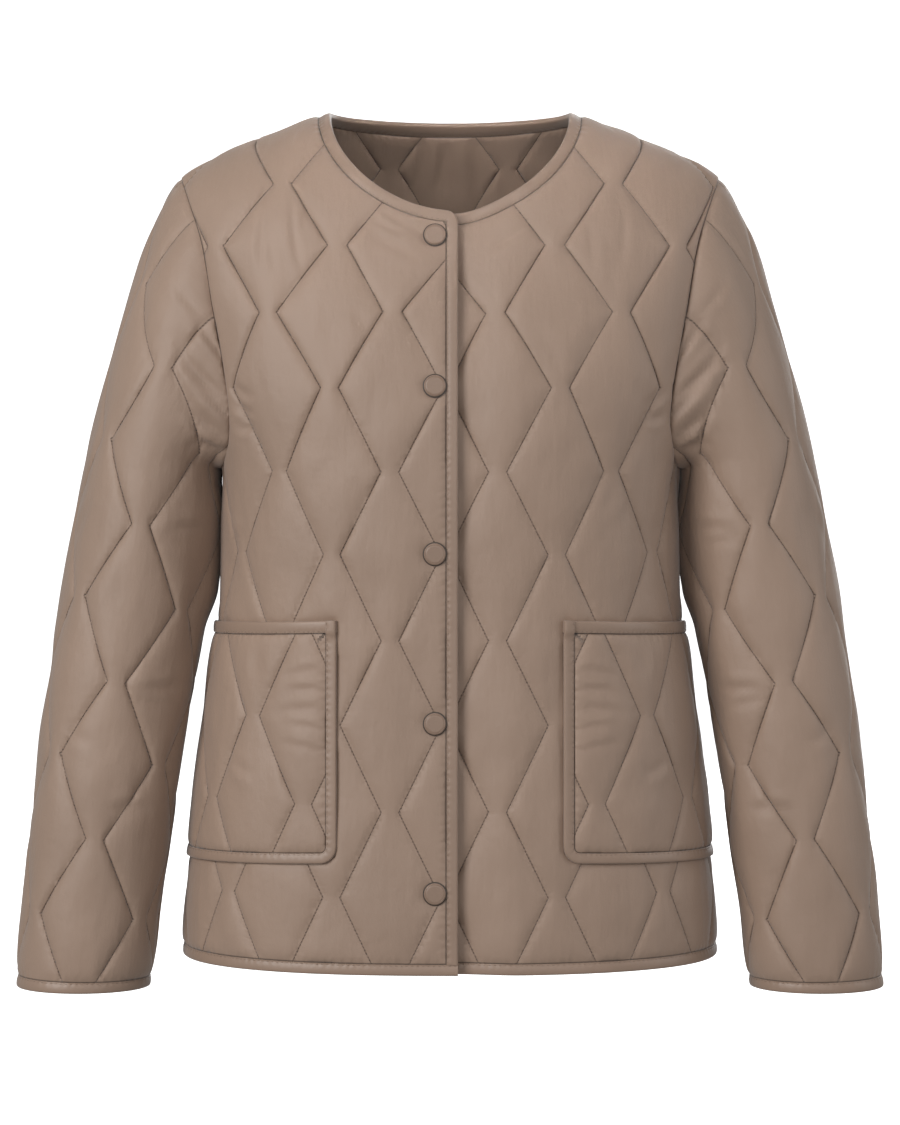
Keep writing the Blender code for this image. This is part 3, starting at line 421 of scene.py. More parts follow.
def rumple(pattern, seed):
    """Soft unevenness of padded cloth: many slow waves in all directions, each in its own step."""
    draw = np.random.default_rng(seed)
    rise = np.zeros(pattern.shape[:-1])
    for _ in range(WAVE_COUNT):
        way, step = draw.uniform(0, 2 * math.pi, 2)
        wavelength = draw.uniform(*WAVE_LENGTHS)
        distance = pattern @ (math.cos(way), WAVE_STRETCH * math.sin(way))
        rise += wavelength * np.sin(2 * math.pi * distance / wavelength + step)
    return rise * RUMPLE


def puffs(held, cell):
    """Padding that rolls up beside what is held and swells gently over each whole diamond."""
    crisp = swell(held, cell, PUFF_CRISP, CRISP_REACH)
    return crisp + swell(held, cell, PUFF_ROUND, ROUND_REACH)


def unbroken(places, gap):
    """A row of places cut wherever two of them lie further apart than a gap."""
    apart = np.flatnonzero(np.linalg.norm(np.diff(places, axis=0), axis=1) > gap)
    return [run for run in np.split(places, apart + 1) if len(run) > SHORTEST_RUN]


def pin_to_lines(pattern, grain, rim, quilting, gap):
    """Move the grid's nearest points onto the stitch lines, and find the runs of stitches."""
    rows, columns = rim.shape
    stitched = np.zeros_like(rim)
    seams = []
    for number in quilting.numbers(grain):
        beyond = grain[..., 0] - quilting.line(number, grain[..., 1])
        upwards, over_row = (np.abs(slope) for slope in np.gradient(beyond))
        places = np.concatenate([pattern, grain], axis=-1)
        found = []
        for down, over in ((0, 1), (1, 0)):
            first = beyond[: rows - down, : columns - over]
            second = beyond[down:, over:]
            row, column = np.nonzero(first * second < 0)
            t = (first / (first - second + 1e-12))[row, column][:, None]
            crossing = places[row, column] * (1 - t) + places[row + down, column + over] * t
            found.append(crossing)
            near = (row + down * (t[:, 0] > 0.5), column + over * (t[:, 0] > 0.5))
            level = over_row[near] > STEEPER[down] * upwards[near]
            free = ~rim[near] & ~stitched[near] & (level != bool(down))
            near = (near[0][free], near[1][free])
            pattern[near], grain[near] = crossing[free, :2], crossing[free, 2:]
            stitched[near] = True
        found = np.concatenate(found)
        seams += unbroken(found[np.argsort(found[:, 3]), :2], gap)
    return stitched, seams


def to_gathers(pattern, share, edges, gathered):
    """How far each place is from the nearest gathered edge, and how far along it."""
    flat = pattern.reshape(-1, 2)
    seam = np.stack([0 * flat[:, 0] + 1, flat[:, 1]])
    for edge in gathered:
        line = dict(zip(("bottom", "right", "top", "left"), edges))[edge]
        place = share[..., 0] if edge in ("bottom", "top") else share[..., 1]
        away = np.linalg.norm(pattern - along(line, place), axis=-1).ravel()
        nearer = away < seam[0]
        seam[:, nearer] = np.stack([away, (place * running_length(line)[-1]).ravel()])[:, nearer]
    return seam.T


def numbered(shape):
    """Give each point a number, kept through later steps, to look its values up by."""
    number = shape.verts.layers.int.new("number")
    for i, vertex in enumerate(shape.verts):
        vertex[number] = i
    return number


def thickened(cloth, inner, outer, stitched):
    """Cut a grid's cells along the stitch lines, and thicken it into a closed sheet."""
    number = numbered(cloth)
    cloth.verts.ensure_lookup_table()
    on_lines = [cloth.verts[i] for i in np.flatnonzero(stitched.ravel())]
    bmesh.ops.connect_verts(cloth, verts=on_lines)
    grown = bmesh.ops.extrude_face_region(cloth, geom=cloth.faces[:], use_keep_orig=True)
    upper = {item for item in grown["geom"] if isinstance(item, bmesh.types.BMVert)}
    for vertex in cloth.verts:
        vertex.co = (outer if vertex in upper else inner)[vertex[number]]
    bmesh.ops.recalc_face_normals(cloth, faces=cloth.faces)


def quilt(name, form, edges, quilting, cell, held=None, snaps=(), creases=(), gathered=(),
          lift=no_lift, lining=0.55, wall=WALL, pressed=None):
    """A quilted panel as a closed sheet: swollen outside, less so inside, shut at its edges.

    The cell is the grid's size, held is an outline under which the padding is pressed flat,
    gathered names the puckered edges, and lining is the inside's share of the swelling. Also
    gives the runs of stitches, each with the way out along it.
    """
    bottom, right, top, left = edges
    columns = round(max(running_length(bottom)[-1], running_length(top)[-1]) / cell)
    rows = round(max(running_length(left)[-1], running_length(right)[-1]) / cell)
    cloth = bmesh.new()
    bmesh.ops.create_grid(cloth, x_segments=columns, y_segments=rows, size=0.5)
    share = np.array([v.co.xy for v in cloth.verts]).reshape(rows + 1, columns + 1, 2) + 0.5
    pattern = settle(spread(edges, share))
    rim = np.ones(share.shape[:2], bool)
    rim[1:-1, 1:-1] = False
    grain = form.grain(pattern.reshape(-1, 2)).reshape(pattern.shape)
    stitched, seams = pin_to_lines(pattern, grain, rim, quilting, 4 * cell)

    down = stitched | rim
    relief = lined = puffs(down, cell)
    if held is not None:
        relief = puffs(down | inside(pattern, held), cell)
    folds = sum((crease(pattern, *each) for each in creases), rumple(pattern, len(name) + rows))
    folds = folds * np.clip(FOLD_FADE * relief / (PUFF_CRISP + PUFF_ROUND), 0, 1)
    if pressed is not None:
        relief, lined = (puffed * (1 - pressed(pattern)) for puffed in (relief, lined))
    relief, lined = relief + folds, lined - folds
    for place in snaps:
        away = np.linalg.norm(pattern - place, axis=-1) - SNAP_RADIUS
        relief = relief * (1 - np.exp(-np.clip(away, 0, 1) / SNAP_DIMPLE))

    flat = pattern.reshape(-1, 2)
    base = form.at(flat)
    for vertex, place in zip(cloth.verts, base):
        vertex.co = place
    cloth.normal_update()
    outward = np.array([v.normal for v in cloth.verts]) * form.flip
    lifted = lift(flat)
    outer = base + outward * (lifted + relief.ravel())[:, None]
    inner = base + outward * (lifted - wall - lining * lined.ravel())[:, None]
    thickened(cloth, inner, outer, stitched)

    piece = finished(name, cloth)
    flat_grain = grain.reshape(-1, 2)
    swing = np.column_stack([quilting.spacings(flat_grain), quilting.phase(flat_grain[:, 1])])
    seam = to_gathers(pattern, share, edges, gathered)
    note(piece, {"Pattern": flat, "Stitching": swing, "Seam": seam})
    runs = []
    for run in seams:
        clear = ~inside(run, held) if held is not None else np.ones(len(run), bool)
        for place in snaps:
            clear &= np.linalg.norm(run - place, axis=1) > SNAP_RADIUS
        for part in unbroken(run[clear], 4 * cell):
            out = form.outward(part)
            runs.append((form.at(part) + out * (lift(part) + STITCH_RISE)[:, None], out))
    return piece, runs


def finished(name, shape, crease_angle=60):
    """An object made of a shape, smooth but for its sharp edges."""
    mesh = bpy.data.meshes.new(name)
    shape.to_mesh(mesh)
    shape.free()
    mesh.shade_smooth()
    mesh.set_sharp_from_angle(angle=math.radians(crease_angle))
    made = bpy.data.objects.new(name, mesh)
    bpy.context.scene.collection.objects.link(made)
    return made


def note(piece, maps):
    """Lay UV maps over a piece from values given for its numbered points."""
    mesh = piece.data
    numbers = np.empty(len(mesh.vertices), np.int32)
    mesh.attributes["number"].data.foreach_get("value", numbers)
    corners = np.empty(len(mesh.loops), np.int32)
    mesh.loops.foreach_get("vertex_index", corners)
    for title, values in maps.items():
        laid = mesh.uv_layers.new(name=title)
        laid.data.foreach_set("uv", values[numbers[corners]].astype(np.float32).ravel())
    mesh.attributes.remove(mesh.attributes["number"])


def sew_in(piece, nodes, material, flat, held, **cut):
    """Give a cloth piece its finish, hang it on the root, and hide the solids it stands for; how it
    was cut is not used.
    """
    piece.data.materials.append(material)
    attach(piece, "root")
    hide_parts(*nodes)


def cut_size(edges):
    """The width, the length and the area of the cloth that a panel is cut from."""
    bottom, right, top, left = edges
    outline = np.concatenate([bottom[:-1], right[:-1], top[:0:-1], left[:0:-1]])
    width, length = outline.max(axis=0) - outline.min(axis=0)
    x, y = outline.T
    area = abs(float((x * np.roll(y, -1) - y * np.roll(x, -1)).sum())) / 2
    return (float(width), float(length)), area


def make_panel(node, form, edges, quilting, cell, held_as="hung", rests_on=None, **ways):
    """Quilt the panel that a solid stands for, sew it in, and keep its runs of stitches."""
    panel, sewn[node] = quilt(f"quilted_{node}", form, edges, quilting, cell, **ways)
    size, area = cut_size(edges)
    cut = {"area": area} if rests_on is None else {"area": area, "rests_on": rests_on}
    sew_in(panel, [node], quilted_nylon, size, held_as, **cut)


MIX_FROM, MIX_TO, MIX_RESULT = 6, 7, 2  # where a mix node takes and gives colours
OBJECT_PLACE = 3  # where a coordinate node gives places on the object


def as_rgba(colour):
    """A colour as a socket takes it, whether it is three numbers or comes from a node."""
    return (*colour, 1) if isinstance(colour, tuple) else colour


class Finish:
    """The nodes of one material, joined up as they are added."""

    def __init__(self, name, colour, roughness, sheen):
        self.material = bpy.data.materials.new(name)
        self.material.use_nodes = True
        self.tree = self.material.node_tree
        self.shader = self.tree.nodes["Principled BSDF"]
        self.shader.inputs["Base Color"].default_value = (*colour, 1)
        self.shader.inputs["Roughness"].default_value = roughness
        self.shader.inputs["Sheen Weight"].default_value = sheen
        self.shader.inputs["Sheen Roughness"].default_value = 0.45
        self.material.diffuse_color = (*colour, 1)

    def add(self, kind, sockets, **settings):
        """Add a node, set or join its sockets, and give its outputs."""
        made = self.tree.nodes.new(kind)
        for key, value in settings.items():
            setattr(made, key, value)
        for socket, value in sockets.items():
            if isinstance(value, bpy.types.NodeSocket):
                self.tree.links.new(value, made.inputs[socket])
            else:
                made.inputs[socket].default_value = value
        return made.outputs

    def sum(self, operation, *values):
        return self.add("ShaderNodeMath", dict(enumerate(values)), operation=operation)[0]

    def place(self):
        """Where on the object a point is."""
        return self.add("ShaderNodeTexCoord", {})[OBJECT_PLACE]

    def laid(self, title):
        """A UV map, and its two distances apart."""
        found = self.add("ShaderNodeUVMap", {}, uv_map=title)
        parts = self.add("ShaderNodeSeparateXYZ", {0: found[0]})
        return found[0], parts[0], parts[1]

    def fading(self, value, start, end):
        """1 below start, 0 above end."""
        sockets = {"Value": value, "From Min": start, "From Max": end, "To Min": 1.0, "To Max": 0.0}
        return self.add("ShaderNodeMapRange", sockets, interpolation_type="SMOOTHSTEP")[0]

    def cloud(self, where, scale, detail=2.0, stretch=(1, 1, 1)):
        """Soft noise from -1 to 1."""
        placed = self.add("ShaderNodeMapping", {"Vector": where, "Scale": stretch})
        sockets = {"Vector": placed[0], "Scale": scale, "Detail": detail, "Roughness": 0.5}
        found = self.add("ShaderNodeTexNoise", sockets)
        return self.sum("MULTIPLY_ADD", found[0], 2.0, -1.0)

    def tint(self, dark, light, share):
        """A colour between two, by a share."""
        sockets = {0: share, MIX_FROM: as_rgba(dark), MIX_TO: as_rgba(light)}
        return self.add("ShaderNodeMix", sockets, data_type="RGBA")[MIX_RESULT]

    def piled(self, *layers):
        """Layers of unevenness on top of each other, each a value and how far it rises."""
        height = self.sum("MULTIPLY", *layers[0])
        for value, rise in layers[1:]:
            height = self.sum("MULTIPLY_ADD", value, rise, height)
        return height

    def finish(self, colour, height):
        self.tree.links.new(colour, self.shader.inputs["Base Color"])
        bump = self.add("ShaderNodeBump", {"Height": height, "Distance": 1.0, "Strength": 1.0})
        self.tree.links.new(bump[0], self.shader.inputs["Normal"])
        return self.material


NYLON_DARK, NYLON_LIGHT = (0.290, 0.200, 0.147), (0.346, 0.239, 0.177)
# Painted shade: the stitch grooves and the sewn edges are darkened towards this colour, as shadow
# in them.
GROOVE_SHADOW_COLOUR = (0.05, 0.035, 0.025)
GROOVE_SHADOW_STRENGTH = 0.78  # how far the painted shade darkens a stitch groove or a sewn edge
STITCHES_PER_TURN = 26
NICKS_A_METRE = 950.0  # in radians


def evenly_speckled(finish, dark, light, scale, detail, rise):
    """A material of two near colours in small specks that stand a little way up."""
    speckle = finish.cloud(finish.place(), scale, detail)
    colour = finish.tint(dark, light, finish.sum("MULTIPLY", speckle, 0.5))
    return finish.finish(colour, finish.sum("MULTIPLY", speckle, rise))


def make_nylon():
    """Smooth down-proof nylon: a fine weave, soft crinkles, small puckers at the stitches, and
    painted shade in the stitch grooves and along the sewn edges.
    """
    nylon = Finish("quilted_nylon", NYLON_LIGHT, roughness=0.53, sheen=0.25)
    flat, _, _ = nylon.laid("Pattern")
    _, across, phase = nylon.laid("Stitching")
    _, from_seam, along_seam = nylon.laid("Seam")

    swing = nylon.sum("PINGPONG", phase, 1.0)
    turn = nylon.sum("MULTIPLY_ADD", swing, -2.0, 1.0)
    shift = nylon.sum("MULTIPLY", turn, LINE_SWING / LINE_SPACING)
    even = nylon.sum("PINGPONG", nylon.sum("ADD", across, shift), 1.0)
    odd = nylon.sum("PINGPONG", nylon.sum("SUBTRACT", across, shift), 1.0)
    shares = nylon.sum("MINIMUM", even, nylon.sum("SUBTRACT", 1.0, odd))
    away = nylon.sum("MULTIPLY", shares, LINE_SPACING * 0.9)

    # Painted shade: a thin dotted dark line along each stitch groove; the same mask also sinks the
    # groove in the bump.
    groove_and_shadow = nylon.fading(away, start=0.0, end=0.0007)
    dots = nylon.sum("SINE", nylon.sum("MULTIPLY", phase, STITCHES_PER_TURN * 2 * math.pi))
    groove_and_shadow = nylon.sum("MULTIPLY", groove_and_shadow, nylon.sum("MULTIPLY_ADD", dots, 0.35, 0.75))
    beside = nylon.fading(away, start=0.0, end=0.0090)
    crinkle = nylon.cloud(flat, scale=95, detail=4.0)
    puckers = nylon.cloud(flat, scale=1.0, detail=2.0, stretch=(70, 230, 1))
    wander = nylon.cloud(flat, scale=60, detail=1.0)
    wave = nylon.sum("MULTIPLY_ADD", along_seam, NICKS_A_METRE, nylon.sum("MULTIPLY", wander, 3.5))
    by_seam = nylon.fading(from_seam, start=0.0005, end=0.0085)
    nicks = nylon.sum("MULTIPLY", nylon.sum("SINE", wave), by_seam)
    weave = nylon.add("ShaderNodeTexChecker", {"Vector": flat, "Scale": 2600.0})[1]

    billow = nylon.cloud(flat, scale=32, detail=2.0, stretch=(1.0, 0.6, 1.0))
    drag = nylon.cloud(flat, scale=1.0, detail=3.0, stretch=(90, 24, 1))
    height = nylon.piled(
        (crinkle, 0.00020),
        (billow, 0.00052),
        (drag, 0.00046),
        (nylon.sum("MULTIPLY", puckers, beside), 0.00022),
        (nicks, 0.00012),
        (weave, 0.000012),
        (groove_and_shadow, -0.00045),
    )

    mottle = nylon.sum("MULTIPLY_ADD", nylon.cloud(nylon.place(), scale=9, detail=3.0), 0.6, 0.5)
    plain = nylon.tint(NYLON_DARK, NYLON_LIGHT, mottle)
    # Painted shade along the sewn edges, where the panels dip into their seams.
    seam_shadow = nylon.fading(from_seam, start=0.0002, end=0.0013)
    sunk = nylon.sum("MAXIMUM", groove_and_shadow, seam_shadow)
    shade = nylon.sum("MULTIPLY", sunk, GROOVE_SHADOW_STRENGTH)
    return nylon.finish(nylon.tint(plain, GROOVE_SHADOW_COLOUR, shade), height)


def lap_sink(pattern):
    """How much deeper the left front lies where it runs under the right one."""
    return -LAP_SINK * ease((LAP_OVER + LAP_SLOPE - pattern[:, 0]) / LAP_SLOPE)


quilted_nylon = make_nylon()

# Soft folds, as seen from the front: x, height, degrees from upright, length, width, depth.
FRONT_FOLDS = {
    RIGHT: [
        (0.1300, -0.0900, 5, 0.056, 0.0034, 0.0010),
        (0.1235, -0.0980, -3, 0.044, 0.0028, 0.0006),
        (0.1080, -0.0880, -6, 0.062, 0.0034, 0.0012),
        (0.1000, -0.0760, 10, 0.036, 0.0030, 0.0008),
        (0.0300, -0.0820, -58, 0.050, 0.0030, 0.0014),
        (0.0380, -0.0850, -66, 0.040, 0.0026, 0.0010),
        (0.0350, -0.0990, -64, 0.044, 0.0034, 0.0008),
        (0.1440, -0.1960, -62, 0.030, 0.0036, 0.0014),
        (0.1430, -0.2090, -74, 0.028, 0.0032, 0.0011),
        (0.1420, -0.2220, -88, 0.024, 0.0034, 0.0009),
        (0.0600, -0.1500, -30, 0.034, 0.0050, 0.0007),
        (0.0900, -0.2550, 24, 0.036, 0.0055, 0.0006),
        (0.0500, -0.3300, -18, 0.040, 0.0060, 0.0006),
        (0.1500, -0.3000, 70, 0.034, 0.0050, 0.0007),
    ],
    LEFT: [
        (0.1200, -0.0900, -5, 0.056, 0.0036, 0.0010),
        (0.0980, -0.0950, 6, 0.050, 0.0034, 0.0008),
        (0.0420, -0.0900, -60, 0.036, 0.0038, 0.0010),
        (0.1430, -0.2010, -66, 0.028, 0.0036, 0.0012),
        (0.1420, -0.2150, -82, 0.026, 0.0034, 0.0010),
        (0.0700, -0.1700, 22, 0.036, 0.0052, 0.0007),
        (0.1100, -0.2700, -26, 0.036, 0.0055, 0.0006),
        (0.0560, -0.3200, 14, 0.040, 0.0060, 0.0006),
        (0.1480, -0.2900, -72, 0.034, 0.0050, 0.0007),
    ],
}


def placed_on(body, folds):
    """Folds with their places turned from (x, height) into the body's pattern."""
    x, height, *rest = np.array(folds).T
    return np.column_stack([body.seen(x, height), *rest])


POCKET_INNER = 0.0785
POCKET_TOP = -0.3544
POCKET_BOTTOM = -0.5229
POCKET_SIDE_DROP = 0.0070
POCKET_SIDE_INSET = 0.0015
POCKET_CORNER = 0.0120


def pocket_mouth(body, inset, count=2):
    """Points along a pocket's mouth or below it, from the inner edge out to the side seam."""
    start = np.array((POCKET_INNER, body.up(POCKET_TOP) - inset))
    end_up = start[1] - POCKET_SIDE_DROP
    end = np.array((body.side_seam(end_up)[0] - POCKET_SIDE_INSET, end_up))
    return start + np.linspace(0, 1, count)[:, None] * (end - start)


def pocket_edges(body, inset_edge, inset_top):
    """A pocket's four sides; the bottom and the inner one meet halfway round the corner."""
    bottom = body.up(POCKET_BOTTOM) + inset_edge
    inner = POCKET_INNER + inset_edge
    mouth = pocket_mouth(body, inset_top, 40)
    mouth = mouth[mouth[:, 0] > inner]
    mouth = np.concatenate([[(inner, np.interp(inner, *mouth.T))], mouth])
    side_up = np.linspace(bottom - POCKET_SIDE_DROP, mouth[-1, 1], 40)
    side = np.column_stack([body.side_seam(side_up) - POCKET_SIDE_INSET, side_up])
    radius = POCKET_CORNER - inset_edge
    turn = np.radians(np.linspace(180, 270, 17))
    arc = np.column_stack([np.cos(turn), np.sin(turn)]) * radius + (inner + radius, bottom + radius)
    left = np.concatenate([arc[8::-1], mouth[:1]])
    return np.concatenate([arc[8:], side[:1]]), side, mouth, left


sewn = {}
for side in (RIGHT, LEFT):
    body = Body(FRONT, side)
    inner_side = front_edge(body, LAP_OVER if side == RIGHT else LAP_UNDER)
    outer_side = side_and_armhole(body)
    foot = np.array([inner_side[0], outer_side[0]])
    edges = (foot, outer_side, shoulder_seam(body), inner_side)
    drift = [(body.up(height), *rest) for height, *rest in LINE_DRIFT[side]]
    quilting = Quilting(FIRST_LINE[side], body.up(FRONT_TURNS), drift)
    below, beside, mouth, within = pocket_edges(body, 0.0, 0.0)
    pocket_print = np.concatenate([below, beside, mouth[::-1], within[::-1]])
    make_panel(
        f"front_{SIDE_NAME[side]}",
        body,
        edges,
        quilting,
        cell=0.0025,
        held=pocket_print,
        snaps=[(SNAP_ACROSS, body.up(z)) for z in SNAP_HEIGHTS] if side == RIGHT else (),
        creases=placed_on(body, FRONT_FOLDS[side]),
        gathered=("bottom", "left"),
        lift=lap_sink if side == LEFT else no_lift,
    )

# ================================================================ the back
# One quilted piece from side seam to side seam. Its inner face shows through the neck.
BACK_TURN = -0.0315
BACK_DRIFT = [(0.0, 0.08, -0.001), (1.0, 0.08, -0.001)]
BACK_FOLDS = [
    (0.0120, -0.0300, 4, 0.070, 0.0044, 0.0024),
    (-0.0120, -0.0260, -5, 0.060, 0.0040, 0.0018),
    (-0.0300, -0.0290, -9, 0.064, 0.0044, 0.0022),
    (0.0330, -0.0330, 9, 0.060, 0.0040, 0.0018),
    (0.0540, -0.0400, 14, 0.050, 0.0044, 0.0016),
    (-0.0560, -0.0450, -12, 0.050, 0.0044, 0.0016),
    (0.1200, -0.0950, -4, 0.042, 0.0045, 0.0010),
    (-0.1150, -0.0930, 5, 0.042, 0.0042, 0.0011),
    (0.1440, -0.2000, -62, 0.030, 0.0036, 0.0012),
    (0.1420, -0.2180, -80, 0.028, 0.0034, 0.0010),
    (-0.1440, -0.1980, 64, 0.030, 0.0036, 0.0012),
    (-0.1420, -0.2170, 82, 0.028, 0.0034, 0.0010),
    (0.0600, -0.1800, 20, 0.040, 0.0055, 0.0008),
    (-0.0800, -0.2100, -26, 0.040, 0.0055, 0.0008),
    (0.0250, -0.2700, -12, 0.044, 0.0060, 0.0007),
    (-0.0300, -0.3500, 16, 0.044, 0.0060, 0.0007),
    (0.1000, -0.3700, -24, 0.040, 0.0058, 0.0007),
    (-0.1100, -0.4400, 20, 0.040, 0.0058, 0.0007),
    (0.0500, -0.4900, -15, 0.044, 0.0060, 0.0007),
]

back_body = Body(BACK, LEFT)
outer_side = side_and_armhole(back_body)
other_side = outer_side * (-1, 1)
shoulder = shoulder_seam(back_body)
neckline = neck_curve(back_body, BINDING)
across_top = np.concatenate(
    [shoulder[:0:-1] * (-1, 1), neckline * (-1, 1), neckline[-2:0:-1], shoulder]
)
back_edges = (np.array([other_side[0], outer_side[0]]), outer_side, across_top, other_side)
back_turns = back_body.up(BACK_TURN) + HALF_PERIOD * np.arange(-9, 1)
back_quilting = Quilting(LINE_SPACING / 2, back_turns, BACK_DRIFT)
make_panel(
    "back",
    back_body,
    back_edges,
    back_quilting,
    cell=0.0027,
    creases=placed_on(back_body, BACK_FOLDS),
    gathered=("bottom", "top"),
    lining=0.8,
)

# ================================================================ the sleeves
# Set in on the round armholes, each cut in one piece, with its seam under the arm.
ARM = np.rec.fromrecords(
    [
        (-0.6210, 0.2626, -0.0320, 0.0470, 0.0420, 0.0),
        (-0.5650, 0.2567, -0.0290, 0.0472, 0.0440, 4.0),
        (-0.5130, 0.2505, -0.0255, 0.0480, 0.0465, 6.5),
        (-0.4300, 0.2393, -0.0185, 0.0494, 0.0515, 8.0),
        (-0.3470, 0.2263, -0.0100, 0.0505, 0.0575, 9.0),
        (-0.3000, 0.2190, -0.0050, 0.0500, 0.0615, 9.0),
        (-0.2445, 0.2110, 0.0000, 0.0470, 0.0650, 9.0),
    ],
    names="height, x, y, half_width, half_depth, tilt",
)
SLEEVE_TURN = 0.1100
SLEEVE_HALF_PERIOD = 0.0563
CAP_GAP = 0.0004  # between the cap's edge and the armhole's
CAP_EASE = 0.52  # how much the rows close in on the ridge of the shoulder
CAP_CLOSED_UP, CAP_CLOSED_OUT = 0.13, 0.12  # how far up and round they do so
TUCK, TUCK_TOP = 0.0066, 0.375  # the sleeve swells out to the body, up to this far up
PRESSED, PRESSED_TOP = 0.7, 0.430  # and its padding is pressed flat, up to this far up
REST_WIDTH, REST_BOTTOM, REST_FADE = 0.040, 0.265, 0.030


def between(table, row, column):
    """A table's values at places between its rows and columns."""
    i = np.clip(row.astype(int), 0, table.shape[0] - 2)
    j = np.clip(column.astype(int), 0, table.shape[1] - 2)
    v, u = row - i, column - j
    low = table[i, j] * (1 - u) + table[i, j + 1] * u
    return low * (1 - v) + (table[i + 1, j] * (1 - u) + table[i + 1, j + 1] * u) * v


class Sleeve(Form):
    """A sleeve. Across is measured round the arm, outwards from the middle of its front."""

    ANGLES = np.linspace(-math.pi / 2, 1.5 * math.pi, 145)
    QUARTER = len(ANGLES) // 4
    LEVELS = np.linspace(ARM.height[0], ARM.height[-1], 60)
    CAP_SAMPLES = 24
    CAP_STEPS = 60
    LEVEL_COUNT = 80
    CAP_AXIS = (-0.144, 0.09, 1.0)  # the way the arm's middle runs on into the shoulder

    def __init__(self, side):
        self.side = self.flip = side
        spine = np.stack([smooth(self.LEVELS, ARM.height, ARM[c]) for c in ("x", "y")], axis=-1)
        self.ups = running_length(np.column_stack([spine, self.LEVELS]))
        self.top = self.ups[-1]
        self.build_cap()

    def rings(self, up):
        """All round the arm at each of these distances up: lengths across, and places."""
        height = np.interp(up, self.ups, self.LEVELS)
        x, y, wide, deep, tilt = (
            smooth(height, ARM.height, ARM[column])[:, None]
            for column in ("x", "y", "half_width", "half_depth", "tilt")
        )
        outwards = wide * np.sin(self.ANGLES)
        tilt = np.radians(tilt)
        places = [
            x + outwards * np.cos(tilt),
            y - deep * np.cos(self.ANGLES),
            height[:, None] + outwards * np.sin(tilt),
        ]
        places = np.stack(places, axis=-1)
        lengths = running_length(places)
        return lengths - lengths[:, self.QUARTER, None], places

    def girth(self, up):
        lengths, _ = self.rings(np.atleast_1d(np.asarray(up, float)))
        return lengths[:, -1] - lengths[:, 0]

    def build_cap(self):
        """Above the underarm, each line up the arm bends over to its place on the armhole."""
        lengths, places = self.rings(np.array([self.top]))
        self.cap_across, ring = lengths[0], places[0]
        half = armhole_curve(2 * self.QUARTER + 1)
        seam = []
        for body, curve in ((Body(FRONT, LEFT), half), (Body(BACK, LEFT), half[-2::-1])):
            seam.append(body.at(body.seen(*curve.T)))
        seam = np.concatenate(seam)
        turned = self.ANGLES + math.pi / 2
        top = np.clip(-np.cos(turned), 0, 1)[:, None]
        under = np.clip(np.cos(turned), 0, 1)[:, None]
        flank = np.abs(np.sin(turned))[:, None]
        into_flank = np.column_stack([0 * turned - 0.88, 0.10 * np.sin(turned), 0 * turned + 0.45])
        into = unit(top**2 * (-0.85, 0, 0.53) + under**2 * (-0.2, 0, 0.98) + flank**2 * into_flank)
        upwards = unit(np.array([-0.22, 0.0, 0.97]))
        reach = np.linalg.norm(seam - ring, axis=1, keepdims=True)
        bend = 0.35 * top**2 + 0.50 * flank**2 + under**2
        self.cap_rows = (ring, upwards * reach, seam, into * reach * bend)
        t = np.linspace(0, 1, self.CAP_SAMPLES)[:, None, None]
        self.cap_length = running_length(np.moveaxis(self.hermite(t, *self.cap_rows), 0, 1))[:, -1]
        self.level_out_cap(ring)

    @staticmethod
    def hermite(t, start, start_way, end, end_way):
        leave = start * (2 * t**3 - 3 * t**2 + 1) + start_way * (t**3 - 2 * t**2 + t)
        return leave + end * (3 * t**2 - 2 * t**3) + end_way * (t**3 - t**2)

    def seam_up(self, across):
        """How far up the sleeve is cut, for places across at the underarm."""
        return self.top + np.interp(across, self.cap_across, self.cap_length) - CAP_GAP

    def level_out_cap(self, ring):
        """Tables of how far round the arm the cloth reaches at each level of the cap."""
        tilt = math.radians(ARM.tilt[-1])
        square = np.array((-math.sin(tilt), 0.0, math.cos(tilt)))
        axis = unit(np.array(self.CAP_AXIS))
        t = np.linspace(0, 1, self.CAP_STEPS + 1)[:, None, None]
        places = self.hermite(t, *self.cap_rows)
        self.cap_levels = (places - ring[self.QUARTER]) @ square / (axis @ square)
        self.level_stops = np.linspace(0, self.cap_levels.max(), self.LEVEL_COUNT)
        cuts = np.empty((len(self.level_stops), len(self.ANGLES), 3))
        for i in range(len(self.ANGLES)):
            for k in range(3):
                heights = np.maximum.accumulate(self.cap_levels[:, i])
                cuts[:, i, k] = np.interp(self.level_stops, heights, places[:, i, k])
        lengths = running_length(cuts)
        outermost = 2 * self.QUARTER
        self.cap_reach = lengths - lengths[:, outermost, None] + self.cap_across[outermost]

    def grain(self, pattern):
        """The rows run straight on up the arm, and the armhole cuts through them."""
        across, up = pattern[:, 0], pattern[:, 1]
        column = np.interp(across, self.cap_across, np.arange(len(self.ANGLES)))
        t = (up - self.top) / np.interp(across, self.cap_across, self.cap_length) * self.CAP_STEPS
        level = between(self.cap_levels, np.clip(t, 0, self.CAP_STEPS), column)
        row = np.interp(level, self.level_stops, np.arange(self.LEVEL_COUNT))
        reach = between(self.cap_reach, row, column)
        ridge = self.cap_across[2 * self.QUARTER]
        off = reach - ridge
        nearness = np.clip(1 - (off / CAP_CLOSED_OUT) ** 2, 0, 1)
        closing = CAP_EASE * ease(level / CAP_CLOSED_UP) ** 1.5 * nearness
        reach = ridge + off * (1 + closing)
        above = (up > self.top)[:, None]
        return np.where(above, np.column_stack([reach, self.top + level]), pattern)

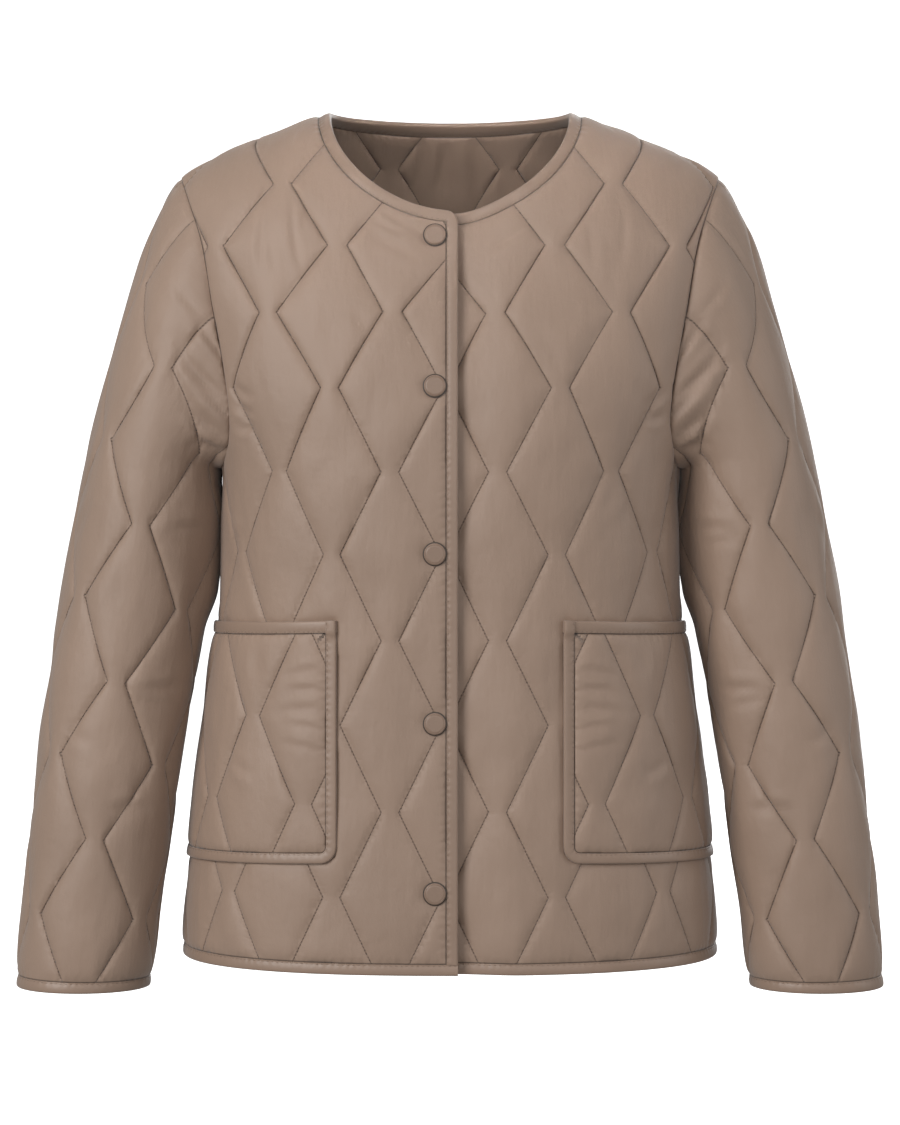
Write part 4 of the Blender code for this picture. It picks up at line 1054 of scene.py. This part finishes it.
    def at(self, pattern):
        across, up = pattern[:, 0], pattern[:, 1]
        lengths, places = self.rings(np.minimum(up, self.top))
        low = np.stack([pick(across, lengths, places[:, :, k]) for k in range(3)], axis=-1)
        rows = [at_lengths(across, self.cap_across, row) for row in self.cap_rows]
        length = np.interp(across, self.cap_across, self.cap_length)
        t = np.clip((up - self.top) / length, 0, 1)[:, None]
        found = np.where(up[:, None] > self.top, self.hermite(t, *rows), low)
        return found * (self.side, 1, 1)


def resting(pattern, top):
    """How fully the sleeve rests against the body, on both sides of its seam, up to a top."""
    up = pattern[..., 1]
    girth = np.interp(up, sleeve.ups, sleeve.girth(sleeve.ups))
    from_seam = np.minimum(pattern[..., 0] + girth / 4, 0.75 * girth - pattern[..., 0])
    ends = ease((top - up) / REST_FADE) * ease((up - REST_BOTTOM) / REST_FADE)
    return ease(1 - from_seam / REST_WIDTH) * ends


def tuck(pattern):
    """How far the sleeve swells out to lie against the body."""
    return TUCK * resting(pattern, TUCK_TOP)


def flattened(pattern):
    """The share of the padding that is pressed flat there."""
    return PRESSED * resting(pattern, PRESSED_TOP)


# Folds in the sleeve's pattern: across, up, degrees from upright, length, width, depth.
SLEEVE_FOLDS = [
    (0.022, 0.490, -62, 0.036, 0.0030, 0.0014),
    (-0.002, 0.471, -56, 0.038, 0.0032, 0.0028),
    (-0.010, 0.441, -70, 0.042, 0.0036, 0.0040),
    (-0.021, 0.431, -72, 0.040, 0.0032, 0.0036),
    (-0.027, 0.414, -80, 0.038, 0.0034, 0.0028),
    (-0.034, 0.402, 75, 0.034, 0.0034, 0.0020),
    (0.006, 0.452, -48, 0.030, 0.0028, 0.0014),
    (-0.034, 0.338, 80, 0.046, 0.0038, 0.0013),
    (-0.030, 0.328, 92, 0.036, 0.0036, 0.0010),
    (-0.030, 0.222, 82, 0.046, 0.0040, 0.0013),
    (-0.026, 0.212, 94, 0.036, 0.0036, 0.0010),
    (-0.022, 0.135, 86, 0.040, 0.0042, 0.0011),
    (0.020, 0.180, -70, 0.036, 0.0044, 0.0008),
    (0.052, 0.330, 30, 0.040, 0.0048, 0.0008),
    (0.120, 0.300, -60, 0.044, 0.0046, 0.0010),
    (0.110, 0.210, 70, 0.040, 0.0044, 0.0010),
    (0.179, 0.471, 56, 0.036, 0.0030, 0.0018),
    (0.187, 0.441, 70, 0.040, 0.0034, 0.0024),
    (0.198, 0.431, 72, 0.036, 0.0032, 0.0018),
    (0.205, 0.335, -82, 0.044, 0.0038, 0.0012),
    (0.140, 0.130, 84, 0.040, 0.0044, 0.0010),
]

sleeves = {}
sleeve_quilting = Quilting(LINE_SPACING / 2, SLEEVE_TURN + SLEEVE_HALF_PERIOD * np.arange(12))
for side in (RIGHT, LEFT):
    sleeve = Sleeve(side)
    across = np.interp(np.linspace(-0.5, 1.5, 121) * math.pi, sleeve.ANGLES, sleeve.cap_across)
    cap = np.column_stack([across, sleeve.seam_up(across)])
    seam_up = np.linspace(BINDING, sleeve.top, 60)
    girth = sleeve.girth(seam_up)
    inner_seam = np.concatenate([np.column_stack([-girth / 4, seam_up]), cap[:1]])
    outer_seam = np.concatenate([np.column_stack([0.75 * girth, seam_up]), cap[-1:]])
    sleeve_edges = (np.array([inner_seam[0], outer_seam[0]]), outer_seam, cap, inner_seam)
    sleeves[side] = sleeve
    make_panel(
        f"sleeve_{SIDE_NAME[side]}",
        sleeve,
        sleeve_edges,
        sleeve_quilting,
        cell=0.0025,
        creases=SLEEVE_FOLDS,
        gathered=("bottom", "top"),
        lift=tuck,
        pressed=flattened,
    )

# ================================================================ the pockets
# Quilted patches sewn on the fronts up to the side seams. Their quilting was cut from the same
# cloth, so its lines run on a little out of step with those of the front.
POCKET_TOP_BINDING = 0.0083
POCKET_EDGE_BINDING = 0.0072
POCKET_WALL = 0.0020
POCKET_REST = 0.0004  # between a pocket and its front
POCKET_LINES_OUT = -0.0215
POCKET_TURNS_UP = 0.0045
POCKET_FOLDS = [
    (0.102, 0.210, 78, 0.044, 0.0030, 0.0005),
    (0.098, 0.198, 88, 0.040, 0.0026, 0.0006),
    (0.104, 0.184, 84, 0.050, 0.0032, 0.0006),
    (0.099, 0.172, 96, 0.040, 0.0026, 0.0005),
    (0.102, 0.158, 100, 0.044, 0.0032, 0.0005),
    (0.150, 0.140, -70, 0.030, 0.0044, 0.0008),
    (0.140, 0.215, 12, 0.028, 0.0044, 0.0007),
]


def on_front(pattern):
    """How far a pocket's outer face is from the front's."""
    return no_lift(pattern) + POCKET_REST + POCKET_WALL


pockets = {}
for side in (RIGHT, LEFT):
    body = Body(FRONT, side)
    edges = pocket_edges(body, POCKET_EDGE_BINDING, POCKET_TOP_BINDING)
    turns = body.up(FRONT_TURNS) + POCKET_TURNS_UP
    quilting = Quilting(FIRST_LINE[RIGHT] + POCKET_LINES_OUT, turns)
    pockets[side] = body
    make_panel(
        f"pocket_{SIDE_NAME[side]}",
        body,
        edges,
        quilting,
        cell=0.0018,
        creases=POCKET_FOLDS,
        gathered=("bottom", "left", "top"),
        held_as="laid",
        rests_on=[f"quilted_front_{SIDE_NAME[side]}"],
        lift=on_front,
        wall=POCKET_WALL,
        lining=0.0,
    )

# ================================================================ the bindings
# Strips of the same nylon folded over each raw edge and stitched through near the panel: one
# from the left front's edge round the neck and down the right front's, one round the hem, one
# round each cuff, and two on each pocket.
EDGE_MIDDLE = -WALL / 2
EDGE_HALF = WALL / 2 + 0.0011
POCKET_BINDING_LIFT = 0.0023
POCKET_BINDING_HALF = 0.0018
MOUTH_STEP = 0.0016
MOUTH_RAMP = 0.0040
LAP_CORNER = 0.0090
SEWN_AT = 0.14  # the stitches' place in a binding, as a share of its width
SEAM_DEPTH, SEAM_HALF = 0.30, 0.09  # how they draw it in, as shares of its depth and width
THREAD_LEVEL = 0.72  # how high they stand in it, as a share of half its depth
PULL_SHARE, PULL_LENGTH, PULL_DRIFT = 0.02, 0.0045, 0.021  # small uneven pulls along it
STRIP_SIDES, STRIP_SQUARENESS = 20, 0.45
STRIP_WIDTH = 0.0105  # of a strip laid flat, both faces and the fold that show
BINDING_DARK, BINDING_LIGHT = (0.266, 0.182, 0.133), (0.322, 0.221, 0.163)


def make_binding_nylon():
    """The same nylon cut on the cross: plainer, a little darker, puckered by its stitches."""
    nylon = Finish("binding_nylon", NYLON_DARK, roughness=0.42, sheen=0.25)
    flat, lengthwise, across = nylon.laid("Pattern")
    crinkle = nylon.cloud(flat, scale=120, detail=3.0)
    wander = nylon.cloud(flat, scale=45, detail=1.0)
    wave = nylon.sum("MULTIPLY_ADD", lengthwise, 1150.0, nylon.sum("MULTIPLY", wander, 3.0))
    from_thread = nylon.sum("ABSOLUTE", nylon.sum("SUBTRACT", across, 0.0012))
    groove = nylon.fading(from_thread, start=0.0, end=0.0042)
    ripple = nylon.sum("MULTIPLY", nylon.sum("SINE", wave), groove)
    height = nylon.piled((crinkle, 0.00012), (ripple, 0.00007))
    mottle = nylon.sum("MULTIPLY_ADD", nylon.cloud(nylon.place(), scale=14, detail=3.0), 0.6, 0.4)
    return nylon.finish(nylon.tint(BINDING_DARK, BINDING_LIGHT, mottle), height)


binding_nylon = make_binding_nylon()


def rails(form, panel_edge, free_edge, lift=no_lift):
    """Where both edges of a strip come to on a form, and the way out along the first one."""
    outward = form.outward(panel_edge)
    lifted = outward * lift(panel_edge)[:, None]
    return [form.at(panel_edge) + lifted, form.at(free_edge) + lifted, outward]


def joined(*runs):
    """Runs of rails one after the other."""
    return [np.concatenate(parts) for parts in zip(*runs)]


STEP = 0.001
NECK_ROUNDING = 0.0095  # at the shoulder seams


def rounded_over(strip, peaks, reach):
    """The same rails, their peaks at these numbers rounded off over a reach."""
    centre = (strip[0] + strip[1]) / 2
    lengths = running_length(centre)
    stops = np.arange(0, lengths[-1], STEP)
    evened = [at_lengths(stops, lengths, rail) for rail in strip]
    offsets = np.arange(-4 * reach, 4 * reach, STEP)
    weights = np.exp(-((offsets / reach) ** 2) / 2)
    weights = weights / weights.sum()
    near = sum(np.exp(-(((stops - lengths[peak]) / (3 * reach)) ** 4)) for peak in peaks)[:, None]
    soft = []
    for rail in evened:
        padded = np.pad(rail, ((len(weights) // 2, len(weights) // 2), (0, 0)), mode="edge")
        eased = np.stack([np.convolve(c, weights, mode="same") for c in padded.T], axis=-1)
        eased = eased[len(weights) // 2 :][: len(rail)]
        soft.append(rail * (1 - near) + eased * near)
    return soft


def bind(name, strip, middle, half, station, closed=False):
    """A flat tube round an edge, from the panel's side of it (0) to the free side (1)."""
    centre = (strip[0] + strip[1]) / 2
    if closed:
        strip = [np.concatenate([part, part[:1]]) for part in strip]
        centre = np.concatenate([centre, centre[:1]])
    lengths = running_length(centre)
    keep = np.concatenate([[True], np.diff(lengths) > 1e-6])
    lengths, strip = lengths[keep], [part[keep] for part in strip]
    stations = round(lengths[-1] / station)
    stops = np.linspace(0, lengths[-1], stations + 1)
    panel, free, outward = (at_lengths(stops, lengths, part) for part in strip)
    outward = unit(outward)
    angle = np.linspace(0, 2 * math.pi, STRIP_SIDES + 1)[:, None]
    across = 0.5 - 0.5 * np.sign(np.cos(angle)) * np.abs(np.cos(angle)) ** STRIP_SQUARENESS
    thick = np.sign(np.sin(angle)) * np.abs(np.sin(angle)) ** STRIP_SQUARENESS
    thick = thick * (1 - SEAM_DEPTH * np.exp(-(((across - SEWN_AT) / SEAM_HALF) ** 2)))
    wave = 1 + PULL_SHARE * np.sin(stops / PULL_LENGTH + 2 * np.sin(stops / PULL_DRIFT))
    thick = thick * wave * half

    shape = bmesh.new()
    bmesh.ops.create_grid(shape, x_segments=stations, y_segments=STRIP_SIDES, size=0.5)
    width = np.linalg.norm(free - panel, axis=1)
    places = panel + (free - panel) * across[..., None] + outward * (middle + thick)[..., None]
    laid = np.stack([stops + 0 * across, across * width], axis=-1).reshape(-1, 2)
    numbered(shape)
    for vertex, place in zip(shape.verts, places.reshape(-1, 3)):
        vertex.co = place
    bmesh.ops.remove_doubles(shape, verts=shape.verts, dist=0.00002)
    if not closed:
        open_edges = [edge for edge in shape.edges if edge.is_boundary]
        bmesh.ops.holes_fill(shape, edges=open_edges, sides=0)
    bmesh.ops.recalc_face_normals(shape, faces=shape.faces)
    strip_piece = finished(name, shape)
    note(strip_piece, {"Pattern": laid})
    row = panel + (free - panel) * SEWN_AT + outward * (middle + half * THREAD_LEVEL)
    return strip_piece, float(stops[-1]), (row, outward)


def sew_binding(name, nodes, strip, middle, half, station=0.003, closed=False):
    """Bind an edge, sew the strip in, and keep its row of stitches."""
    piece, length, row = bind(name, strip, middle, half, station, closed)
    bound.append((name, row, nodes[0]))
    sew_in(piece, nodes, binding_nylon, (STRIP_WIDTH, length), "folded")


def over_mouth(pattern):
    """How far a pocket's edge strip rises, by its upper end, over the strip along the mouth."""
    below = pattern[:, 1] - body.up(POCKET_TOP) + POCKET_TOP_BINDING + MOUTH_RAMP
    return MOUTH_STEP * ease(below / MOUTH_RAMP)


def front_binding(side):
    """From the shoulder round the neck, round the corner and down a front's edge."""
    body = Body(FRONT, side)
    reach = LAP_OVER if side == RIGHT else LAP_UNDER
    level = float(body.up(FRONT_NECK_HEIGHT))
    centre = np.array((LAP_CORNER - reach, level - LAP_CORNER))
    turn = np.radians(np.linspace(90, 180, 16))
    down = np.linspace(centre[1], BINDING, 200)[1:]
    edges = []
    for grow in (BINDING, 0.0):
        neck = neck_curve(body, grow, 91)
        neck = neck[neck[:, 0] > max(centre[0], 0) + 0.0005]
        arc = centre + (LAP_CORNER - grow) * np.column_stack([np.cos(turn), np.sin(turn)])
        run = np.concatenate([neck, arc, np.column_stack([0 * down + grow - reach, down])])
        edges.append(run)
    below = len(turn) + len(down)
    neck_count = min(len(edge) for edge in edges) - below - 1
    edges = [np.concatenate([edge[:-below][:neck_count], edge[-below:]]) for edge in edges]
    return rails(body, *edges, lift=lap_sink if side == LEFT else no_lift)


bound = []
right_run, left_run = front_binding(RIGHT), front_binding(LEFT)
back_run = []
for grow in (BINDING, 0.0):
    half = neck_curve(back_body, grow)
    back_run.append(np.concatenate([half[1:] * (-1, 1), half[-2:0:-1]]))
neck_strip = joined([p[::-1] for p in right_run], rails(back_body, *back_run), left_run)
seams_at = [len(right_run[0]), len(right_run[0]) + len(back_run[0])]
neck_strip = rounded_over(neck_strip, seams_at, NECK_ROUNDING)
neck_nodes = ["neck_binding", "front_edge_binding_right", "front_edge_binding_left"]
sew_binding("neck_and_front_binding", neck_nodes, neck_strip, EDGE_MIDDLE, EDGE_HALF, 0.0018)

hem_runs = []
for facing, side, start in (
    (FRONT, RIGHT, -LAP_OVER),
    (BACK, RIGHT, 0.0),
    (BACK, LEFT, 0.0),
    (FRONT, LEFT, -LAP_UNDER),
):
    body = Body(facing, side)
    shares = np.linspace(0, 1, 90)[:, None]
    edges = [
        np.array((start, up)) + shares * (float(body.side_seam(up)[0]) - start, 0)
        for up in (BINDING, 0.0)
    ]
    sunk = lap_sink if (facing, side) == (FRONT, LEFT) else no_lift
    run = rails(body, *edges, lift=sunk)
    towards_middle = (facing == FRONT) == (side == LEFT)
    run = [part[::-1] if towards_middle else part for part in run]
    hem_runs.append([part[1:] for part in run] if hem_runs else run)
sew_binding("hem_strip", ["hem_binding"], joined(*hem_runs), EDGE_MIDDLE, EDGE_HALF)

for side in (RIGHT, LEFT):
    suffix = SIDE_NAME[side]
    sleeve = sleeves[side]
    edges = []
    for up in (BINDING, 0.0):
        around = np.linspace(-0.25, 0.75, 121)[:-1] * sleeve.girth(up)[0]
        edges.append(np.column_stack([around, 0 * around + up]))
    cuff = rails(sleeve, *edges)
    nodes = [f"cuff_binding_{suffix}"]
    sew_binding(f"cuff_strip_{suffix}", nodes, cuff, EDGE_MIDDLE, EDGE_HALF, closed=True)

    body = pockets[side]
    mouth = rails(body, *(pocket_mouth(body, inset, 50) for inset in (POCKET_TOP_BINDING, 0.0)))
    nodes = [f"pocket_top_binding_{suffix}"]
    lift, half = POCKET_BINDING_LIFT, POCKET_BINDING_HALF
    sew_binding(f"pocket_mouth_strip_{suffix}", nodes, mouth, lift, half, 0.0025)

    bottom = float(body.up(POCKET_BOTTOM))
    turn = np.radians(np.linspace(180, 270, 14))
    centre = np.array([POCKET_INNER, bottom]) + POCKET_CORNER
    edges = []
    for inset in (POCKET_EDGE_BINDING, 0.0):
        corner = centre + np.column_stack([np.cos(turn), np.sin(turn)]) * (POCKET_CORNER - inset)
        start = np.array((corner[0, 0], np.interp(corner[0, 0], *pocket_mouth(body, 0.0).T)))
        foot_up = bottom - POCKET_SIDE_DROP + inset
        end = np.array((body.side_seam(foot_up)[0] - POCKET_SIDE_INSET, foot_up))
        down = start + np.linspace(0, 1, 70)[:-1, None] * (corner[0] - start)
        out = corner[-1] + np.linspace(0, 1, 50)[1:, None] * (end - corner[-1])
        edges.append(np.concatenate([down, corner, out]))
    edge_run = rails(body, *edges, lift=over_mouth)
    nodes = [f"pocket_edge_binding_{suffix}"]
    sew_binding(f"pocket_edge_strip_{suffix}", nodes, edge_run, lift, half, 0.0020)

# ================================================================ the stitching
# One thread in the coat's colour through every quilting line and every binding, about three
# stitches to a centimetre.
STITCH_PITCH = 0.00372
STITCH_HALF = np.array((0.00115, 0.00026, 0.00022))
THREAD_DARK, THREAD_LIGHT = (0.235, 0.160, 0.117), (0.310, 0.213, 0.157)
plain_thread = Finish("thread", (0.280, 0.193, 0.142), roughness=0.5, sheen=0.1)
thread = evenly_speckled(plain_thread, THREAD_DARK, THREAD_LIGHT, 900, 1.0, rise=0.00004)


def stitch(name, runs):
    """A row of stitches along each run, a chain of places with the way out at each."""
    centres, ways, outs = [], [], []
    for places, outward in runs:
        lengths = running_length(places)
        if lengths[-1] < 2 * STITCH_PITCH:
            continue
        stops = np.arange(STITCH_PITCH / 2, lengths[-1], STITCH_PITCH)
        ends = [at_lengths(stops + d, lengths, places) for d in (-STITCH_HALF[0], STITCH_HALF[0])]
        centres.append((ends[0] + ends[1]) / 2)
        ways.append(unit(ends[1] - ends[0] + 1e-12))
        outs.append(unit(at_lengths(stops, lengths, outward)))
    centres, ways, outs = (np.concatenate(parts) for parts in (centres, ways, outs))
    sides = unit(np.cross(outs, ways))
    shape = bmesh.new()
    bmesh.ops.create_icosphere(shape, subdivisions=1, radius=1.0)
    number = shape.verts.layers.int.new("number")
    count = 1  # the first stitch is doubled until there are enough, and the surplus goes
    while count < len(centres):
        grown = bmesh.ops.duplicate(shape, geom=shape.verts[:] + shape.edges[:] + shape.faces[:])
        for item in grown["geom"]:
            if isinstance(item, bmesh.types.BMVert):
                item[number] += count
        count *= 2
    surplus = [vertex for vertex in shape.verts if vertex[number] >= len(centres)]
    bmesh.ops.delete(shape, geom=surplus, context="VERTS")
    which = np.array([vertex[number] for vertex in shape.verts])
    local = np.array([vertex.co for vertex in shape.verts]) * STITCH_HALF
    places = centres[which]
    for k, axis in enumerate((ways, sides, outs)):
        places = places + axis[which] * local[:, k, None]
    for vertex, place in zip(shape.verts, places):
        vertex.co = place
    row = finished(name, shape, 180)
    row.data.materials.append(thread)
    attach(row, "root")
    return row


for node, runs in sewn.items():
    stitch(f"{node}_stitches", runs)
for name, run, node in bound:
    stitch(f"{name}_stitches", [run])

# ================================================================ the snaps
# Round moulded caps in the coat's colour, flat on top with a fine groove round the rim, set
# through the right front and pressed shut on studs in the left one.
SNAP_PROFILE = [
    (0.0, 0.00255),
    (0.0050, 0.00262),
    (0.0061, 0.00262),
    (0.0064, 0.00240),
    (0.0067, 0.00262),
    (0.0071, 0.00240),
    (0.0075, 0.00180),
    (0.0074, 0.00120),
    (0.0083, 0.00105),
    (0.0084, 0.00070),
    (0.0050, 0.00040),
    (0.0048, -0.0004),
    (0.0, -0.0004),
]
RING_HEIGHT = 0.00125  # below this the snap's foot is near black, as painted shadow under the cap
CAP_DARK, CAP_LIGHT = (0.262, 0.178, 0.130), (0.308, 0.211, 0.155)
plain_cap = Finish("snap_cap", (0.280, 0.191, 0.140), roughness=0.36, sheen=0.0)
snap_cap = evenly_speckled(plain_cap, CAP_DARK, CAP_LIGHT, 700, 2.0, rise=0.00001)
# The foot under each cap is near black: painted shadow in the gap under the cap's rim.
snap_foot_shadow = Finish("snap_foot_shadow", (0.060, 0.041, 0.030), roughness=0.45, sheen=0.0).material


def spun(profile, steps, merge):
    """A profile of (out, height) turned once round the upright axis."""
    shape = bmesh.new()
    points = [shape.verts.new((out, 0.0, height)) for out, height in profile]
    edges = [shape.edges.new(pair) for pair in zip(points, points[1:])]
    turn = {"cent": (0, 0, 0), "axis": (0, 0, 1), "angle": 2 * math.pi, "steps": steps}
    bmesh.ops.spin(shape, geom=points + edges, use_merge=True, **turn)
    bmesh.ops.remove_doubles(shape, verts=shape.verts, dist=merge)
    bmesh.ops.recalc_face_normals(shape, faces=shape.faces)
    return shape


front_body = Body(FRONT, RIGHT)
for number, height in enumerate(SNAP_HEIGHTS, 1):
    place = np.array([(SNAP_ACROSS, front_body.up(height))])
    centre, outward = front_body.at(place)[0], front_body.outward(place)[0]
    shape = spun(SNAP_PROFILE, steps=48, merge=0.00001)
    for face in shape.faces:
        # Faces below the ring height take the near-black painted shadow.
        face.material_index = int(max(vertex.co.z for vertex in face.verts) < RING_HEIGHT)
    turn = Vector(outward).to_track_quat("Z", "Y").to_matrix().to_4x4()
    bmesh.ops.transform(shape, matrix=Matrix.Translation(Vector(centre)) @ turn, verts=shape.verts)
    cap = finished(f"snap_cap_{number}", shape, 40)
    cap.data.materials.append(snap_cap)
    cap.data.materials.append(snap_foot_shadow)
    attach(cap, "root")
    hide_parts(f"snap_{number}")

# ================================================================ the studio
# A pale floor that curves up into a wall all round the coat, a large soft light from the left
# of the picture, weaker ones from the right and above, and the photograph's camera.
FLOOR_HEIGHT = -0.80
FLOOR_RADIUS = 3.8
WALL_CURVE = 0.90
WALL_TOP = 4.5
curve = [(0.0, FLOOR_HEIGHT), (FLOOR_RADIUS, FLOOR_HEIGHT)]
for turn in np.radians(range(10, 91, 10)):
    out = FLOOR_RADIUS + WALL_CURVE * math.sin(turn)
    curve.append((out, FLOOR_HEIGHT + WALL_CURVE * (1 - math.cos(turn))))
curve.append((FLOOR_RADIUS + WALL_CURVE, WALL_TOP))
shape = spun(curve, steps=64, merge=0.0001)
bmesh.ops.reverse_faces(shape, faces=shape.faces)
sweep = finished("studio_sweep", shape)
paper = Finish("white_paper", (0.9, 0.9, 0.9), roughness=0.9, sheen=0.0)
paper.shader.inputs["Emission Color"].default_value = (1, 1, 1, 1)
paper.shader.inputs["Emission Strength"].default_value = 0.97
sweep.data.materials.append(paper.material)
sweep.visible_diffuse = False
sweep.visible_glossy = False
sweep.visible_shadow = False


def soft_light(name, place, aim, size, power, spread=180):
    """A rectangle of light at a place, turned to what it is aimed at."""
    lamp = bpy.data.lights.new(name, "AREA")
    lamp.shape = "RECTANGLE"
    lamp.size, lamp.size_y = size
    lamp.energy = power
    lamp.spread = math.radians(spread)
    made = bpy.data.objects.new(name, lamp)
    made.location = place
    made.rotation_euler = (Vector(aim) - Vector(place)).to_track_quat("-Z", "Y").to_euler()
    bpy.context.scene.collection.objects.link(made)


soft_light("key", (-2.2, -2.4, 0.8), (0, 0, -0.30), (1.6, 2.2), 76)
soft_light("front_fill", (0.7, -3.2, 0.3), (0, 0, -0.30), (2.0, 2.0), 20)
soft_light("right_fill", (2.4, -0.5, 0.3), (0, 0, -0.30), (1.4, 2.0), 13)
soft_light("back_fill", (0.8, 3.0, 0.4), (0, 0, -0.30), (2.2, 2.2), 34)
soft_light("top_light", (0, -0.5, 2.2), (0, 0, -0.05), (1.6, 1.0), 9)
soft_light("neck_light", (0.25, -1.3, 0.75), (-0.02, 0.10, -0.02), (0.3, 0.3), 0.09, spread=11)

world = bpy.data.worlds.new("room")
world.use_nodes = True
world.node_tree.nodes["Background"].inputs["Color"].default_value = (1, 1, 1, 1)
world.node_tree.nodes["Background"].inputs["Strength"].default_value = 0.26
bpy.context.scene.world = world
bpy.context.scene.view_settings.view_transform = "Standard"

lens = bpy.data.cameras.new("camera")
lens.lens = 122.2
lens.sensor_width = 36
camera = bpy.data.objects.new("camera", lens)
camera.location = (0, -2.75, -0.19)
camera.rotation_euler = (math.radians(90 - 2.7), 0, 0)
bpy.context.scene.collection.objects.link(camera)
bpy.context.scene.camera = camera
